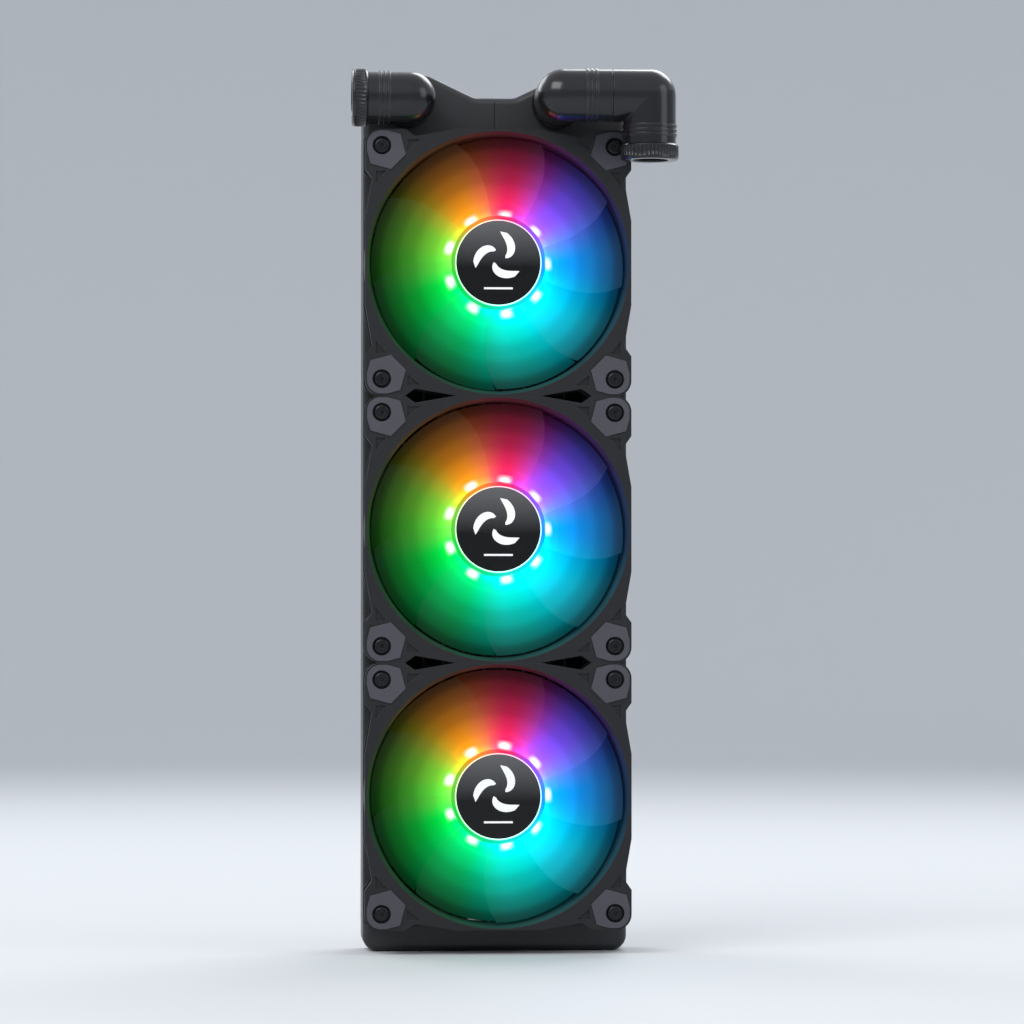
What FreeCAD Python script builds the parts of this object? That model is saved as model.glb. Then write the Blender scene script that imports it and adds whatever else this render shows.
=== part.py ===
import FreeCAD, Part
import math
import os
import re
import Sketcher

# A 360 mm class liquid cooling radiator with three 120 mm fans and two swivel fittings.
# Millimetres, +Z up. The fans face -Y, and the rear mounting face of the radiator is Y = 0.
# The origin is the centre of the middle fan's four rear screw holes.

SIZES = (
    # radiator
    ("radiator_width", 120), ("radiator_depth", 27), ("sheet", 1.2), ("rail_sheet", 1.0),
    ("core_half", 178), ("core_depth", 16), ("core_front", 21.5), ("flange_width", 13),
    ("port_tank_top", 207), ("lobe_shoulder", 30), ("valley_half", 9), ("valley_drop", 10),
    ("tank_round", 3), ("tank_corner", 7), ("return_tank_bottom", 191), ("slope_shift", 0.27),
    ("seam_width", 0.6), ("seam_depth", 0.4),
    ("tube_count", 12), ("tube_thick", 2), ("tube_wall", 0.3), ("tube_end", 181),
    ("fin_pitch", 12), ("fin_sheet", 0.4), ("fin_crest", 1.2),
    ("thread_room", 1.55), ("thread_core", 1.25), ("nut_radius", 3), ("nut_length", 1.5),
    # fans
    ("fan_size", 120), ("fan_depth", 25), ("fan_pitch", 120), ("screw_square", 105),
    ("bore_radius", 57.8), ("duct_radius", 59.9), ("mouth_radius", 59.2), ("mouth_depth", 4),
    ("mouth_cut", 1), ("recess_depth", 0.8), ("recess_far", 35.3), ("recess_near", 41),
    ("recess_high", 55.2), ("recess_low", 50.6),
    ("flange_thick", 3.5), ("pad_rise", 0.5), ("pad_depth", 2), ("frame_corner", 7),
    ("side_straight", 19), ("waist_place", 37.5), ("waist_depth", 3.2), ("ear_place", 42),
    ("base_radius", 25), ("base_thick", 2), ("lip_height", 2.5), ("strut_count", 7),
    ("strut_root", 24.2), ("strut_end", 58.2), ("strut_sweep", 11.6), ("strut_width", 3.5),
    ("bearing_wall", 5.4), ("bearing_bore", 4), ("bearing_top", 17), ("screw_gap", 2.2),
    ("pad_centre", 50.9), ("pad_flats", 16.5), ("pad_edge", 59.2), ("pad_corner", 6.2),
    ("hub_radius", 21.5), ("hub_wall", 1.5), ("hub_foot", 6), ("hub_top", 23.6), ("hub_face", 2),
    ("hub_round", 1.2),
    ("label_radius", 19), ("label_thick", 0.5), ("shaft_radius", 1.5), ("shaft_foot", 3),
    ("boss_radius", 3.6), ("boss_foot", 18), ("sleeve_gap", 0.04),
    ("blade_count", 9), ("blade_tip", 56.8), ("blade_front", 22.4), ("blade_rear", 6.4),
    ("root_wrap", 43), ("tip_wrap", 48), ("tip_lean", 14), ("root_thick", 2), ("tip_thick", 1.2),
    ("front_fall", 1.5), ("rear_rise", 1), ("root_camber", 1.6), ("tip_camber", 2.4),
    ("edge_share", 0.3), ("blade_sink", 4), ("blade_spare", 5), ("blade_stations", 5),
    ("yoke_thick", 0.8), ("yoke_length", 13), ("magnet_thick", 1.8), ("magnet_foot", 7),
    ("magnet_length", 12),
    ("core_radius", 16.6), ("core_hub", 8), ("core_foot", 7.5), ("core_height", 7),
    ("pole_half", 2), ("pole_sink", 1), ("shoe_half", 6.5), ("shoe_inner", 13.5), ("coil_outer", 3.6),
    ("coil_start", 8.6), ("coil_end", 13.2), ("coil_over", 1.5), ("coil_round", 1),
    ("board_inner", 17), ("board_outer", 23.8), ("board_thick", 1.2),
    ("led_count", 9), ("led_place", 22.4), ("led_length", 2.6), ("led_width", 2.4), ("led_height", 1.0),
    ("led_turn", 1),
    # screws, M3 x 25 with a socket button head
    ("screw_radius", 1.5), ("screw_length", 25), ("head_radius", 3.5), ("head_height", 2.4),
    ("head_seat", 23), ("head_clear", 4.2), ("socket_radius", 1.1), ("socket_depth", 1.4),
    # ports and fittings, G1/4 thread and 16 mm hard tube
    ("port_height", 194), ("left_port", -40), ("right_port", 28), ("boss_outer", 11.5),
    ("boss_length", 3), ("thread_radius", 6.2), ("thread_length", 8), ("extension_length", 16.5),
    ("extension_radius", 9.8), ("flange_radius", 11.5), ("flange_length", 5), ("swivel_gap", 0.3),
    ("spigot_radius", 5.94), ("spigot_bore", 4), ("spigot_length", 6), ("socket_fit", 6),
    ("water_bore", 4.5), ("elbow_radius", 11.8), ("elbow_rise", 15), ("left_reach", 19),
    ("arm_reach", 21.5), ("drop_rise", 17.3), ("drop_reach", 22),
    ("collar_radius", 13), ("collar_length", 7), ("nipple_radius", 9.9), ("nipple_length", 4.5),
    ("tube_bore", 8.05), ("seal_wire", 0.75), ("seal_room", 2.25), ("groove_clear", 1),
    ("ring_count", 3), ("ring_height", 0.5), ("ring_width", 1), ("ring_step", 2), ("left_rings", 9),
    ("arm_rings", 10), ("drop_rings", 13.5),
)
NAMES = {name for name, value in SIZES}

doc = FreeCAD.newDocument("radiator")
sheet = doc.addObject("Spreadsheet::Sheet", "sizes")
for row, (name, value) in enumerate(SIZES, start=1):
    sheet.set(f"A{row}", name)
    sheet.set(f"B{row}", str(value))
    sheet.setAlias(f"B{row}", name)
doc.recompute()


# ---- how sizes reach the pieces ---------------------------------------------------------------

def rule(text):
    """A rule with each size's name written as its place in the sheet."""
    return re.sub(r"[a-z]+(_[a-z]+)*", lambda word: "sizes." + word[0] if word[0] in NAMES else word[0],
                  text)


def size(text):
    """The value of a rule, as a plain number of millimetres or degrees."""
    value = sheet.evalExpression(rule(text))
    return float(getattr(value, "Value", value))


def bind(thing, **rules):
    """Ties properties to rules; a double underscore stands for a dot."""
    for name, text in rules.items():
        thing.setExpression(name.replace("__", "."), rule(text))
    return thing


def primitive(kind, name, turn=None, **rules):
    """A Part primitive bound to the sheet; turn is (axis, angle)."""
    solid = doc.addObject("Part::" + kind, name)
    if turn:
        solid.Placement.Rotation = FreeCAD.Rotation(FreeCAD.Vector(*turn[0]), turn[1])
    return bind(solid, **rules)


def at(x="0", y="0", z="0"):
    """Rules for a primitive's place."""
    return {"Placement__Base__x": x, "Placement__Base__y": y, "Placement__Base__z": z}


def joined(name, *pieces):
    """Several pieces fused into one."""
    fuse = doc.addObject("Part::MultiFuse", name)
    fuse.Shapes = pieces
    return fuse


def cut_from(name, base, tool):
    """The base with the tool taken out of it."""
    cut = doc.addObject("Part::Cut", name)
    cut.Base = base
    cut.Tool = tool
    return cut


def group(name, *pieces):
    """Identical loose pieces kept as separate solids of one node."""
    compound = doc.addObject("Part::Compound", name)
    compound.Links = pieces
    return compound


def body(name):
    return doc.addObject("PartDesign::Body", name)


def origin_part(part_body, role):
    return next(item for item in part_body.Origin.OriginFeatures if item.Role == role)


def new_sketch(part_body, plane, offset):
    sketch = part_body.newObject("Sketcher::SketchObject", "Sketch")
    sketch.AttachmentSupport = (origin_part(part_body, plane), "")
    sketch.MapMode = "FlatFace"
    return bind(sketch, AttachmentOffset__Base__z=offset)


def pin(sketch, direction, edge, end, text):
    """Holds one end of an edge at a ruled distance from the sketch's origin."""
    number = sketch.addConstraint(Sketcher.Constraint("Distance" + direction, -1, 1, edge, end, size(text)))
    sketch.setExpression(f"Constraints[{number}]", rule(text))


def outline(part_body, plane, corners, offset="0", rounds=None):
    """A closed sketch through ruled corners; rounds gives some corners, by number, a radius."""
    sketch = new_sketch(part_body, plane, offset)
    points = [FreeCAD.Vector(size(x), size(y), 0) for x, y in corners]
    count = len(points)
    for number in range(count):
        sketch.addGeometry(Part.LineSegment(points[number], points[(number + 1) % count]), False)
    for number in range(count):
        sketch.addConstraint(Sketcher.Constraint("Coincident", number, 2, (number + 1) % count, 1))
    for number, (x, y) in enumerate(corners):
        pin(sketch, "X", number, 1, x)
        pin(sketch, "Y", number, 1, y)
    for number, radius in (rounds or {}).items():
        before = (number - 1) % count
        towards = [points[before] - points[number], points[(number + 1) % count] - points[number]]
        near = [points[number] + side.normalize() for side in towards]
        sketch.fillet(before, number, near[0], near[1], size(radius), True, True)
        arc = max(place for place, item in enumerate(sketch.Geometry) if isinstance(item, Part.ArcOfCircle))
        bound = sketch.addConstraint(Sketcher.Constraint("Radius", arc, size(radius)))
        sketch.setExpression(f"Constraints[{bound}]", rule(radius))
    return sketch


def circles(part_body, plane, rings, offset="0"):
    """A sketch of circles, each a rule for x, y and radius."""
    sketch = new_sketch(part_body, plane, offset)
    for number, (x, y, radius) in enumerate(rings):
        centre = FreeCAD.Vector(size(x), size(y), 0)
        sketch.addGeometry(Part.Circle(centre, FreeCAD.Vector(0, 0, 1), size(radius)), False)
        pin(sketch, "X", number, 3, x)
        pin(sketch, "Y", number, 3, y)
        bound = sketch.addConstraint(Sketcher.Constraint("Radius", number, size(radius)))
        sketch.setExpression(f"Constraints[{bound}]", rule(radius))
    return sketch


def pad(part_body, sketch, length, midplane=False):
    feature = part_body.newObject("PartDesign::Pad", "Pad")
    feature.Profile = (sketch, [""])
    feature.Midplane = midplane
    return bind(feature, Length=length)


def pocket(part_body, sketch, length, forward=False, midplane=False):
    """A pocket against the sketch's normal, or along it when forward."""
    feature = part_body.newObject("PartDesign::Pocket", "Pocket")
    feature.Profile = (sketch, [""])
    feature.Reversed = forward
    feature.Midplane = midplane
    return bind(feature, Length=length)


def turned(part_body, sketch, kind="Revolution"):
    """A revolution or a groove about the sketch's upright axis."""
    feature = part_body.newObject("PartDesign::" + kind, kind)
    feature.Profile = (sketch, [""])
    feature.ReferenceAxis = (sketch, ["V_Axis"])
    feature.Angle = 360
    return feature


def round_edges(part_body, radius, wanted):
    """Rounds the edges of the body that wanted() picks."""
    doc.recompute()
    base = part_body.Tip
    names = [f"Edge{number}" for number, edge in enumerate(base.Shape.Edges, start=1) if wanted(edge)]
    feature = part_body.newObject("PartDesign::Fillet", "Fillet")
    feature.Base = (base, names)
    return bind(feature, Radius=radius)


def ring_pattern(part_body, count, *features):
    """Repeats features, or with none given the whole body, evenly about the body's Z axis."""
    pattern = part_body.newObject("PartDesign::PolarPattern", "PolarPattern")
    if features:
        pattern.Originals = list(features)
    else:
        pattern.TransformMode = "Whole shape"
    pattern.Axis = (origin_part(part_body, "Z_Axis"), [""])
    pattern.Angle = 360
    bind(pattern, Occurrences=count)
    part_body.Tip = pattern
    return pattern


def row_pattern(part_body, length, count, axis):
    """Repeats the whole body evenly over a length along one of its axes."""
    pattern = part_body.newObject("PartDesign::LinearPattern", "LinearPattern")
    pattern.TransformMode = "Whole shape"
    pattern.Direction = (origin_part(part_body, axis), [""])
    bind(pattern, Length=length, Occurrences=count)
    part_body.Tip = pattern
    return pattern


def ruled_square(corners):
    """Turns a quarter of an outline, given as rules, three more times about the origin."""
    quarters = list(corners)
    for turn in range(3):
        corners = [(f"-({y})", x) for x, y in corners]
        quarters += corners
    return quarters


PIECES = []


def piece(name, shape_object):
    """Names a finished sub-part."""
    shape_object.Label = name
    PIECES.append(shape_object)
    return shape_object


# ---- radiator ---------------------------------------------------------------------------------

def tank_body(name, outer, inner, rounds):
    """A pressed tank: an outline as deep as the radiator, hollow inside, open towards the core."""
    tank = body(name)
    pad(tank, outline(tank, "XZ_Plane", outer, rounds=rounds), "radiator_depth")

    def front_or_rear(edge):
        level = [abs(vertex.Y) for vertex in edge.Vertexes]
        flat = all(abs(y) < 1e-6 or abs(y - size("radiator_depth")) < 1e-6 for y in level)
        heights = [abs(vertex.Z) for vertex in edge.Vertexes]
        along = abs(edge.Vertexes[0].Y - edge.Vertexes[-1].Y) < 1e-6
        return flat and along and max(heights) > size("core_half + sheet") + 1e-6

    round_edges(tank, "tank_round", front_or_rear)
    hollow = outline(tank, "XZ_Plane", inner, offset="sheet", rounds=rounds)
    pocket(tank, hollow, "radiator_depth - 2 * sheet", forward=True)
    return tank


def port_tank():
    foot = "core_half + sheet"
    outer = [("-radiator_width / 2", foot), ("radiator_width / 2", foot),
             ("radiator_width / 2", "port_tank_top"), ("lobe_shoulder", "port_tank_top"),
             ("valley_half", "port_tank_top - valley_drop"), ("-valley_half", "port_tank_top - valley_drop"),
             ("-lobe_shoulder", "port_tank_top"), ("-radiator_width / 2", "port_tank_top")]
    wall = "radiator_width / 2 - sheet"
    roof = "port_tank_top - sheet"
    floor = f"{roof} - valley_drop"
    inner = [(f"-({wall})", foot), (wall, foot), (wall, roof), ("lobe_shoulder + slope_shift", roof),
             ("valley_half + slope_shift", floor), ("-(valley_half + slope_shift)", floor),
             ("-(lobe_shoulder + slope_shift)", roof), (f"-({wall})", roof)]
    tank = tank_body("PortTank", outer, inner,
                     {2: "tank_corner", 3: "tank_corner", 4: "tank_corner", 5: "tank_corner",
                      6: "tank_corner", 7: "tank_corner"})
    # water ways through the front wall, one for each port
    ways = circles(tank, "XZ_Plane", [("left_port", "port_height", "thread_radius"),
                                      ("right_port", "port_height", "thread_radius")],
                   offset="radiator_depth")
    pocket(tank, ways, "2 * sheet")
    # the soldered seam in front of the divider
    low = f"{foot} - sheet"
    line = [("-seam_width / 2", low), ("seam_width / 2", low), ("seam_width / 2", "port_tank_top"),
            ("-seam_width / 2", "port_tank_top")]
    pocket(tank, outline(tank, "XZ_Plane", line, offset="radiator_depth"), "seam_depth")
    return tank


def return_tank():
    foot = "-(core_half + sheet)"
    wall = "radiator_width / 2 - sheet"
    outer = [("radiator_width / 2", foot), ("-radiator_width / 2", foot),
             ("-radiator_width / 2", "-return_tank_bottom"), ("radiator_width / 2", "-return_tank_bottom")]
    inner = [(wall, foot), (f"-({wall})", foot), (f"-({wall})", "sheet - return_tank_bottom"),
             (wall, "sheet - return_tank_bottom")]
    return tank_body("ReturnTank", outer, inner, {2: "tank_corner", 3: "tank_corner"})


TUBE_STEP = "(radiator_width - 2 * rail_sheet + tube_thick) / (tube_count + 1)"
FIRST_TUBE = f"(tube_count - 1) / 2 * {TUBE_STEP}"
CORE_MIDDLE = "core_front - core_depth / 2"


def tube_outline(part_body, shrink, offset):
    """The flat section of the first tube, smaller all round by shrink."""
    half_x = f"(tube_thick / 2 - {shrink})"
    half_y = f"(core_depth / 2 - {shrink})"
    left, right = f"-({FIRST_TUBE}) - {half_x}", f"-({FIRST_TUBE}) + {half_x}"
    front, back = f"-({CORE_MIDDLE}) - {half_y}", f"-({CORE_MIDDLE}) + {half_y}"
    corners = [(left, front), (right, front), (right, back), (left, back)]
    near_round = f"0.9 * {half_x}"
    return outline(part_body, "XY_Plane", corners, offset, {0: near_round, 1: near_round,
                                                            2: near_round, 3: near_round})


def tube_row(part_body):
    row_pattern(part_body, f"(tube_count - 1) * {TUBE_STEP}", "tube_count", "X_Axis")


def flat_tubes():
    tubes = body("FlatTubes")
    pad(tubes, tube_outline(tubes, "0", "-tube_end"), "2 * tube_end")
    pocket(tubes, tube_outline(tubes, "tube_wall", "tube_end"), "2 * tube_end")
    tube_row(tubes)
    return tubes


def header_plate(name, level):
    """The slotted plate that closes a tank; its slots fit the flat tubes."""
    half = "radiator_width / 2"
    plate = body(name)
    corners = [(f"-{half}", "-radiator_depth"), (half, "-radiator_depth"), (half, "0"), (f"-{half}", "0")]
    rim = {number: "tank_round" for number in range(4)}
    pad(plate, outline(plate, "XY_Plane", corners, level, rim), "sheet")
    slot = pocket(plate, tube_outline(plate, "0", f"{level} + sheet"), "sheet")
    row = plate.newObject("PartDesign::LinearPattern", "LinearPattern")
    row.Originals = [slot]
    row.Direction = (origin_part(plate, "X_Axis"), [""])
    bind(row, Length=f"(tube_count - 1) * {TUBE_STEP}", Occurrences="tube_count")
    plate.Tip = row
    return plate


def fin_stacks():
    """Thirteen folded strips. Each is a thin sheet folded to and fro between two tubes."""
    gap = size(f"{TUBE_STEP} - tube_thick")
    thick, crest, pitch = size("fin_sheet"), size("fin_crest"), size("fin_pitch")
    reach = gap / 2 - thick / 2
    folds = int(2 * size("core_half") / pitch)
    start = -folds * pitch / 2
    middle = []
    for fold in range(folds):
        low = start + fold * pitch
        middle += [FreeCAD.Vector(-reach, 0, low), FreeCAD.Vector(-reach, 0, low + crest),
                   FreeCAD.Vector(reach, 0, low + pitch / 2),
                   FreeCAD.Vector(reach, 0, low + pitch / 2 + crest)]
    # the strip's section is its middle line made half a sheet wider each way, with mitred corners
    mitred = 2
    face = Part.makePolygon(middle).makeOffset2D(thick / 2, mitred, True, False)
    strip = face.extrude(FreeCAD.Vector(0, size("core_depth"), 0))
    strip.translate(FreeCAD.Vector(0, -size("core_front"), 0))
    count = int(size("tube_count"))
    places = [(number - count / 2) * size(TUBE_STEP) for number in range(count + 1)]
    stacks = doc.addObject("Part::Feature", "FinStacks")
    stacks.Shape = Part.makeCompound([strip.translated(FreeCAD.Vector(x, 0, 0)) for x in places])
    return stacks


def side_plate(name, side):
    """A U-section rail; its flanges have six M3 holes each, with a drawn collar inside.

    No thread is drawn. The front holes are as wide as the fans' screws, and the empty rear holes are
    as wide as an M3 thread's core.
    """
    rail = body(name)
    outer, web = f"{side} * radiator_width / 2", f"{side} * (radiator_width / 2 - rail_sheet)"
    lip = f"{side} * (radiator_width / 2 - flange_width)"
    corners = [(outer, "-radiator_depth"), (outer, "0"), (lip, "0"), (lip, "-rail_sheet"),
               (web, "-rail_sheet"), (web, "rail_sheet - radiator_depth"),
               (lip, "rail_sheet - radiator_depth"), (lip, "-radiator_depth")]
    pad(rail, outline(rail, "XY_Plane", corners, "-core_half", {0: "rail_sheet", 1: "rail_sheet"}),
        "2 * core_half")
    holes = [(f"{side} * screw_square / 2", f"{fan} * fan_pitch + {end} * screw_square / 2")
             for fan in (-1, 0, 1) for end in (-1, 1)]
    collars = [(x, z, "nut_radius") for x, z in holes]
    empty = [(x, z, "thread_core") for x, z in holes]
    filled = [(x, z, "thread_room") for x, z in holes]
    pad(rail, circles(rail, "XZ_Plane", collars, "rail_sheet"), "nut_length")
    pad(rail, circles(rail, "XZ_Plane", collars, "radiator_depth - rail_sheet - nut_length"), "nut_length")
    pocket(rail, circles(rail, "XZ_Plane", empty), "radiator_depth / 2", forward=True)
    pocket(rail, circles(rail, "XZ_Plane", filled, "radiator_depth"), "radiator_depth / 2")
    return rail


def tank_divider():
    inside = "radiator_depth - 2 * sheet"
    low, high = "core_half + sheet", "port_tank_top - valley_drop - sheet"
    plate = primitive("Box", "TankDivider", Length="sheet", Width=inside, Height=f"{high} - ({low})",
                      **at("-sheet / 2", "sheet - radiator_depth", low))
    return plate


def build_radiator():
    piece("port_tank", port_tank())
    piece("return_tank", return_tank())
    piece("port_header_plate", header_plate("PortHeader", "core_half"))
    piece("return_header_plate", header_plate("ReturnHeader", "-core_half - sheet"))
    piece("tank_divider", tank_divider())
    piece("flat_tubes", flat_tubes())
    piece("fin_stacks", fin_stacks())
    piece("left_side_plate", side_plate("LeftRail", "-1"))
    piece("right_side_plate", side_plate("RightRail", "1"))


# ---- fans: drawn flat with +Z towards the air intake, then stood up in front of the radiator --------

def frame_side():
    """One side of the frame's outline, from its corner to the next ear."""
    half = "fan_size / 2"
    return [(f"-{half}", f"-{half}"), ("-ear_place", f"-{half}"), ("-waist_place", f"waist_depth - {half}"),
            ("-side_straight", f"-{half}"), ("side_straight", f"-{half}"),
            ("waist_place", f"waist_depth - {half}"), ("ear_place", f"-{half}")]


def pad_outline(part_body, offset):
    """A hexagon with one flat towards the fan's middle, its outer corner following the frame's."""
    across = "pad_flats / sqrt(3)"
    far, near = f"{across} * cos(15)", f"{across} * sin(15)"
    slant = f"{across} * sin(45)"
    cut_at = f"pad_centre + {near} - (pad_centre + {far} - pad_edge) * tan(75)"
    corners = [(f"pad_centre - {far}", f"pad_centre - {near}"),
               (f"pad_centre - {near}", f"pad_centre - {far}"),
               (f"pad_centre + {slant}", f"pad_centre - {slant}"), ("pad_edge", cut_at),
               ("pad_edge", "pad_edge"), (cut_at, "pad_edge"),
               (f"pad_centre - {slant}", f"pad_centre + {slant}")]
    return outline(part_body, "XY_Plane", corners, offset, {4: "pad_corner"})


def recess_outlines():
    """Two small triangles beside a corner pad, one on each side of the corner's diagonal."""
    upper = [("recess_near", "recess_high"), ("recess_far", "recess_high"), ("recess_near", "recess_low")]
    lower = [(y, x) for x, y in upper]
    return upper, lower


def fan_frame(name):
    frame = body(name)
    outer = ruled_square(frame_side())
    rounded = {number: "frame_corner" for number in (0, 7, 14, 21)}
    front = "fan_depth - pad_rise"
    pad(frame, outline(frame, "XY_Plane", outer, "pad_rise", rounded), "flange_thick")
    duct = circles(frame, "XY_Plane", [("0", "0", "duct_radius")], "pad_rise")
    pad(frame, duct, "fan_depth - 2 * pad_rise")
    pad(frame, outline(frame, "XY_Plane", outer, f"{front} - flange_thick", rounded), "flange_thick")
    pocket(frame, circles(frame, "XY_Plane", [("0", "0", "bore_radius")], "fan_depth"), "fan_depth")
    inside = "bore_radius - mouth_cut"
    mouth = outline(frame, "XZ_Plane", [(inside, f"{front} - mouth_depth - mouth_cut"),
                                        ("bore_radius", f"{front} - mouth_depth"), ("mouth_radius", front),
                                        ("mouth_radius", "fan_depth"), (inside, "fan_depth")])
    turned(frame, mouth, "Groove")
    # motor base with its lip, the bearing tube, and the struts that carry them
    pad(frame, circles(frame, "XY_Plane", [("0", "0", "base_radius")], "pad_rise"), "base_thick")
    lip = [("0", "0", "base_radius"), ("0", "0", "board_outer")]
    pad(frame, circles(frame, "XY_Plane", lip, "pad_rise + base_thick"), "lip_height")
    tube = [("0", "0", "bearing_wall"), ("0", "0", "bearing_bore")]
    pad(frame, circles(frame, "XY_Plane", tube, "pad_rise + base_thick"),
        "bearing_top - pad_rise - base_thick")
    strut = outline(frame, "XY_Plane", [("strut_root", "-strut_width / 2"), ("strut_end", "strut_sweep"),
                                        ("strut_end", "strut_sweep + strut_width"),
                                        ("strut_root", "strut_width / 2")], "pad_rise")
    ring_pattern(frame, "strut_count", pad(frame, strut, "flange_thick"))
    # seats of the corner pads, front and rear, the small recesses beside them and the screw holes
    seats = [pocket(frame, pad_outline(frame, "fan_depth"), "pad_depth"),
             pocket(frame, pad_outline(frame, "0"), "pad_depth", forward=True)]
    for triangle in recess_outlines():
        seats.append(pocket(frame, outline(frame, "XY_Plane", triangle, front), "recess_depth"))
    ring_pattern(frame, "4", *seats)
    corner = "screw_square / 2"
    holes = [(f"{x} * {corner}", f"{y} * {corner}", "screw_gap") for x in (-1, 1) for y in (-1, 1)]
    pocket(frame, circles(frame, "XY_Plane", holes, "fan_depth"), "fan_depth")
    return frame


def corner_pads(name):
    """Four rubber pads in front and four behind."""
    pads = body(name)
    pad(pads, pad_outline(pads, "fan_depth - pad_depth"), "pad_depth")
    pad(pads, pad_outline(pads, "0"), "pad_depth")
    corner = "screw_square / 2"
    pocket(pads, circles(pads, "XY_Plane", [(corner, corner, "head_clear")], "fan_depth"), "pad_depth")
    pocket(pads, circles(pads, "XY_Plane", [(corner, corner, "screw_gap")], "pad_depth"), "pad_depth")
    ring_pattern(pads, "4")
    return pads


def blade_section(radius):
    """The blade's cambered section on the flat plane x = radius, leading edge high."""
    inner, outer = size("hub_radius"), size("blade_tip")
    out = (radius - inner) / (outer - inner)
    width = radius * math.radians(size(f"root_wrap + (tip_wrap - root_wrap) * ({out})"))
    lean = radius * math.radians(size("tip_lean")) * out * out
    thick = size(f"root_thick + (tip_thick - root_thick) * ({out})")
    front = size(f"blade_front - front_fall * ({out})")
    rear = size(f"blade_rear + rear_rise * ({out})")
    camber = size(f"root_camber + (tip_camber - root_camber) * ({out})")
    leading = FreeCAD.Vector(radius, lean - width / 2, front)
    trailing = FreeCAD.Vector(radius, lean + width / 2, rear)
    chord = (trailing - leading).normalize()
    normal = FreeCAD.Vector(0, -chord.z, chord.y)
    middle = (leading + trailing) / 2 - normal * camber
    edge = normal * (thick * size("edge_share"))
    over = Part.Arc(leading + edge, middle + normal * (thick / 2), trailing + edge).toShape()
    under = Part.Arc(trailing - edge, middle - normal * (thick / 2), leading - edge).toShape()
    tail = Part.LineSegment(trailing + edge, trailing - edge).toShape()
    nose = Part.LineSegment(leading - edge, leading + edge).toShape()
    return Part.Wire([over, tail, under, nose])


def fan_blades(name):
    """Nine lofted blades, trimmed to the tip circle and to the middle of the hub's wall."""
    inner, outer = size("hub_radius"), size("blade_tip")
    start, end = inner - size("blade_sink"), outer + size("blade_spare")
    steps = int(size("blade_stations")) - 1
    stations = [start + (end - start) * step / steps for step in range(steps + 1)]
    loft = Part.makeLoft([blade_section(radius) for radius in stations], True, False)
    ring = Part.makeCylinder(outer, size("fan_depth")).cut(
        Part.makeCylinder(inner - size("hub_wall") / 2, size("fan_depth")))
    blade = loft.common(ring)
    count = int(size("blade_count"))
    axis = FreeCAD.Vector(0, 0, 1)
    blades = doc.addObject("Part::Feature", name)
    blades.Shape = Part.makeCompound([blade.rotated(FreeCAD.Vector(), axis, turn * 360 / count)
                                      for turn in range(count)])
    return blades


def rotor_hub(name):
    """A cup that is open at the rear, with a boss for the shaft and a seat for the label."""
    hub = body(name)
    face = "hub_top - hub_face"
    profile = [("shaft_radius", "boss_foot"), ("boss_radius", "boss_foot"), ("boss_radius", face),
               ("hub_radius - hub_wall", face), ("hub_radius - hub_wall", "hub_foot"),
               ("hub_radius", "hub_foot"), ("hub_radius", "hub_top"), ("label_radius", "hub_top"),
               ("label_radius", "hub_top - label_thick"), ("shaft_radius", "hub_top - label_thick")]
    turned(hub, outline(hub, "XZ_Plane", profile, rounds={6: "hub_round"}))
    return hub


def ring_body(name, inner, outer, foot, height):
    ring = body(name)
    pad(ring, circles(ring, "XY_Plane", [("0", "0", outer), ("0", "0", inner)], foot), height)
    return ring


def stator_core(name):
    """Four poles with wide shoes on a ring that sits on the bearing tube."""
    core = ring_body(name, "bearing_wall", "core_hub", "core_foot", "core_height")
    reach = "sqrt(core_radius * core_radius - shoe_half * shoe_half)"
    root = "core_hub - pole_sink"
    pole = [(root, "-pole_half"), ("shoe_inner", "-pole_half"), ("shoe_inner", "-shoe_half"),
            (reach, "-shoe_half"), ("core_radius", "0"), (reach, "shoe_half"), ("shoe_inner", "shoe_half"),
            ("shoe_inner", "pole_half"), (root, "pole_half")]
    ring_pattern(core, "4", pad(core, outline(core, "XY_Plane", pole, "core_foot"), "core_height"))
    return core


def stator_coils(name):
    """A winding round each pole, between the ring and the shoe."""
    coils = body(name)
    block = [("coil_start", "-coil_outer"), ("coil_end", "-coil_outer"), ("coil_end", "coil_outer"),
             ("coil_start", "coil_outer")]
    hole = [("core_hub", "-pole_half"), ("shoe_inner", "-pole_half"), ("shoe_inner", "pole_half"),
            ("core_hub", "pole_half")]
    rounds = {number: "coil_round" for number in range(4)}
    pad(coils, outline(coils, "XY_Plane", block, "core_foot - coil_over", rounds),
        "core_height + 2 * coil_over")
    pocket(coils, outline(coils, "XY_Plane", hole, "core_foot + core_height"), "core_height")
    ring_pattern(coils, "4")
    return coils


def led_ring(name):
    """Nine small lights on the board, just outside the hub."""
    leds = body(name)
    near, far = "led_place - led_length / 2", "led_place + led_length / 2"
    block = [(near, "-led_width / 2"), (far, "-led_width / 2"), (far, "led_width / 2"),
             (near, "led_width / 2")]
    pad(leds, outline(leds, "XY_Plane", block, "pad_rise + base_thick + board_thick"), "led_height")
    ring_pattern(leds, "led_count")
    return leds


def shaft(name):
    return primitive("Cylinder", name, Radius="shaft_radius",
                     Height="hub_top - label_thick - shaft_foot", **at(z="shaft_foot"))


def label(name):
    return primitive("Cylinder", name, Radius="label_radius", Height="label_thick",
                     **at(z="hub_top - label_thick"))


def stand_up(shape_object, level, turn=0):
    """Stands a fan's piece in front of the radiator at a fan's height, turned about its own axis."""
    own = shape_object.Placement
    facing = FreeCAD.Rotation(FreeCAD.Vector(1, 0, 0), 90)
    spin = FreeCAD.Rotation(FreeCAD.Vector(0, 0, 1), turn)
    seat = FreeCAD.Vector(0, -size("radiator_depth"), size(f"{level} * fan_pitch"))
    shape_object.Placement = FreeCAD.Placement(seat, facing * spin) * own


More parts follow.
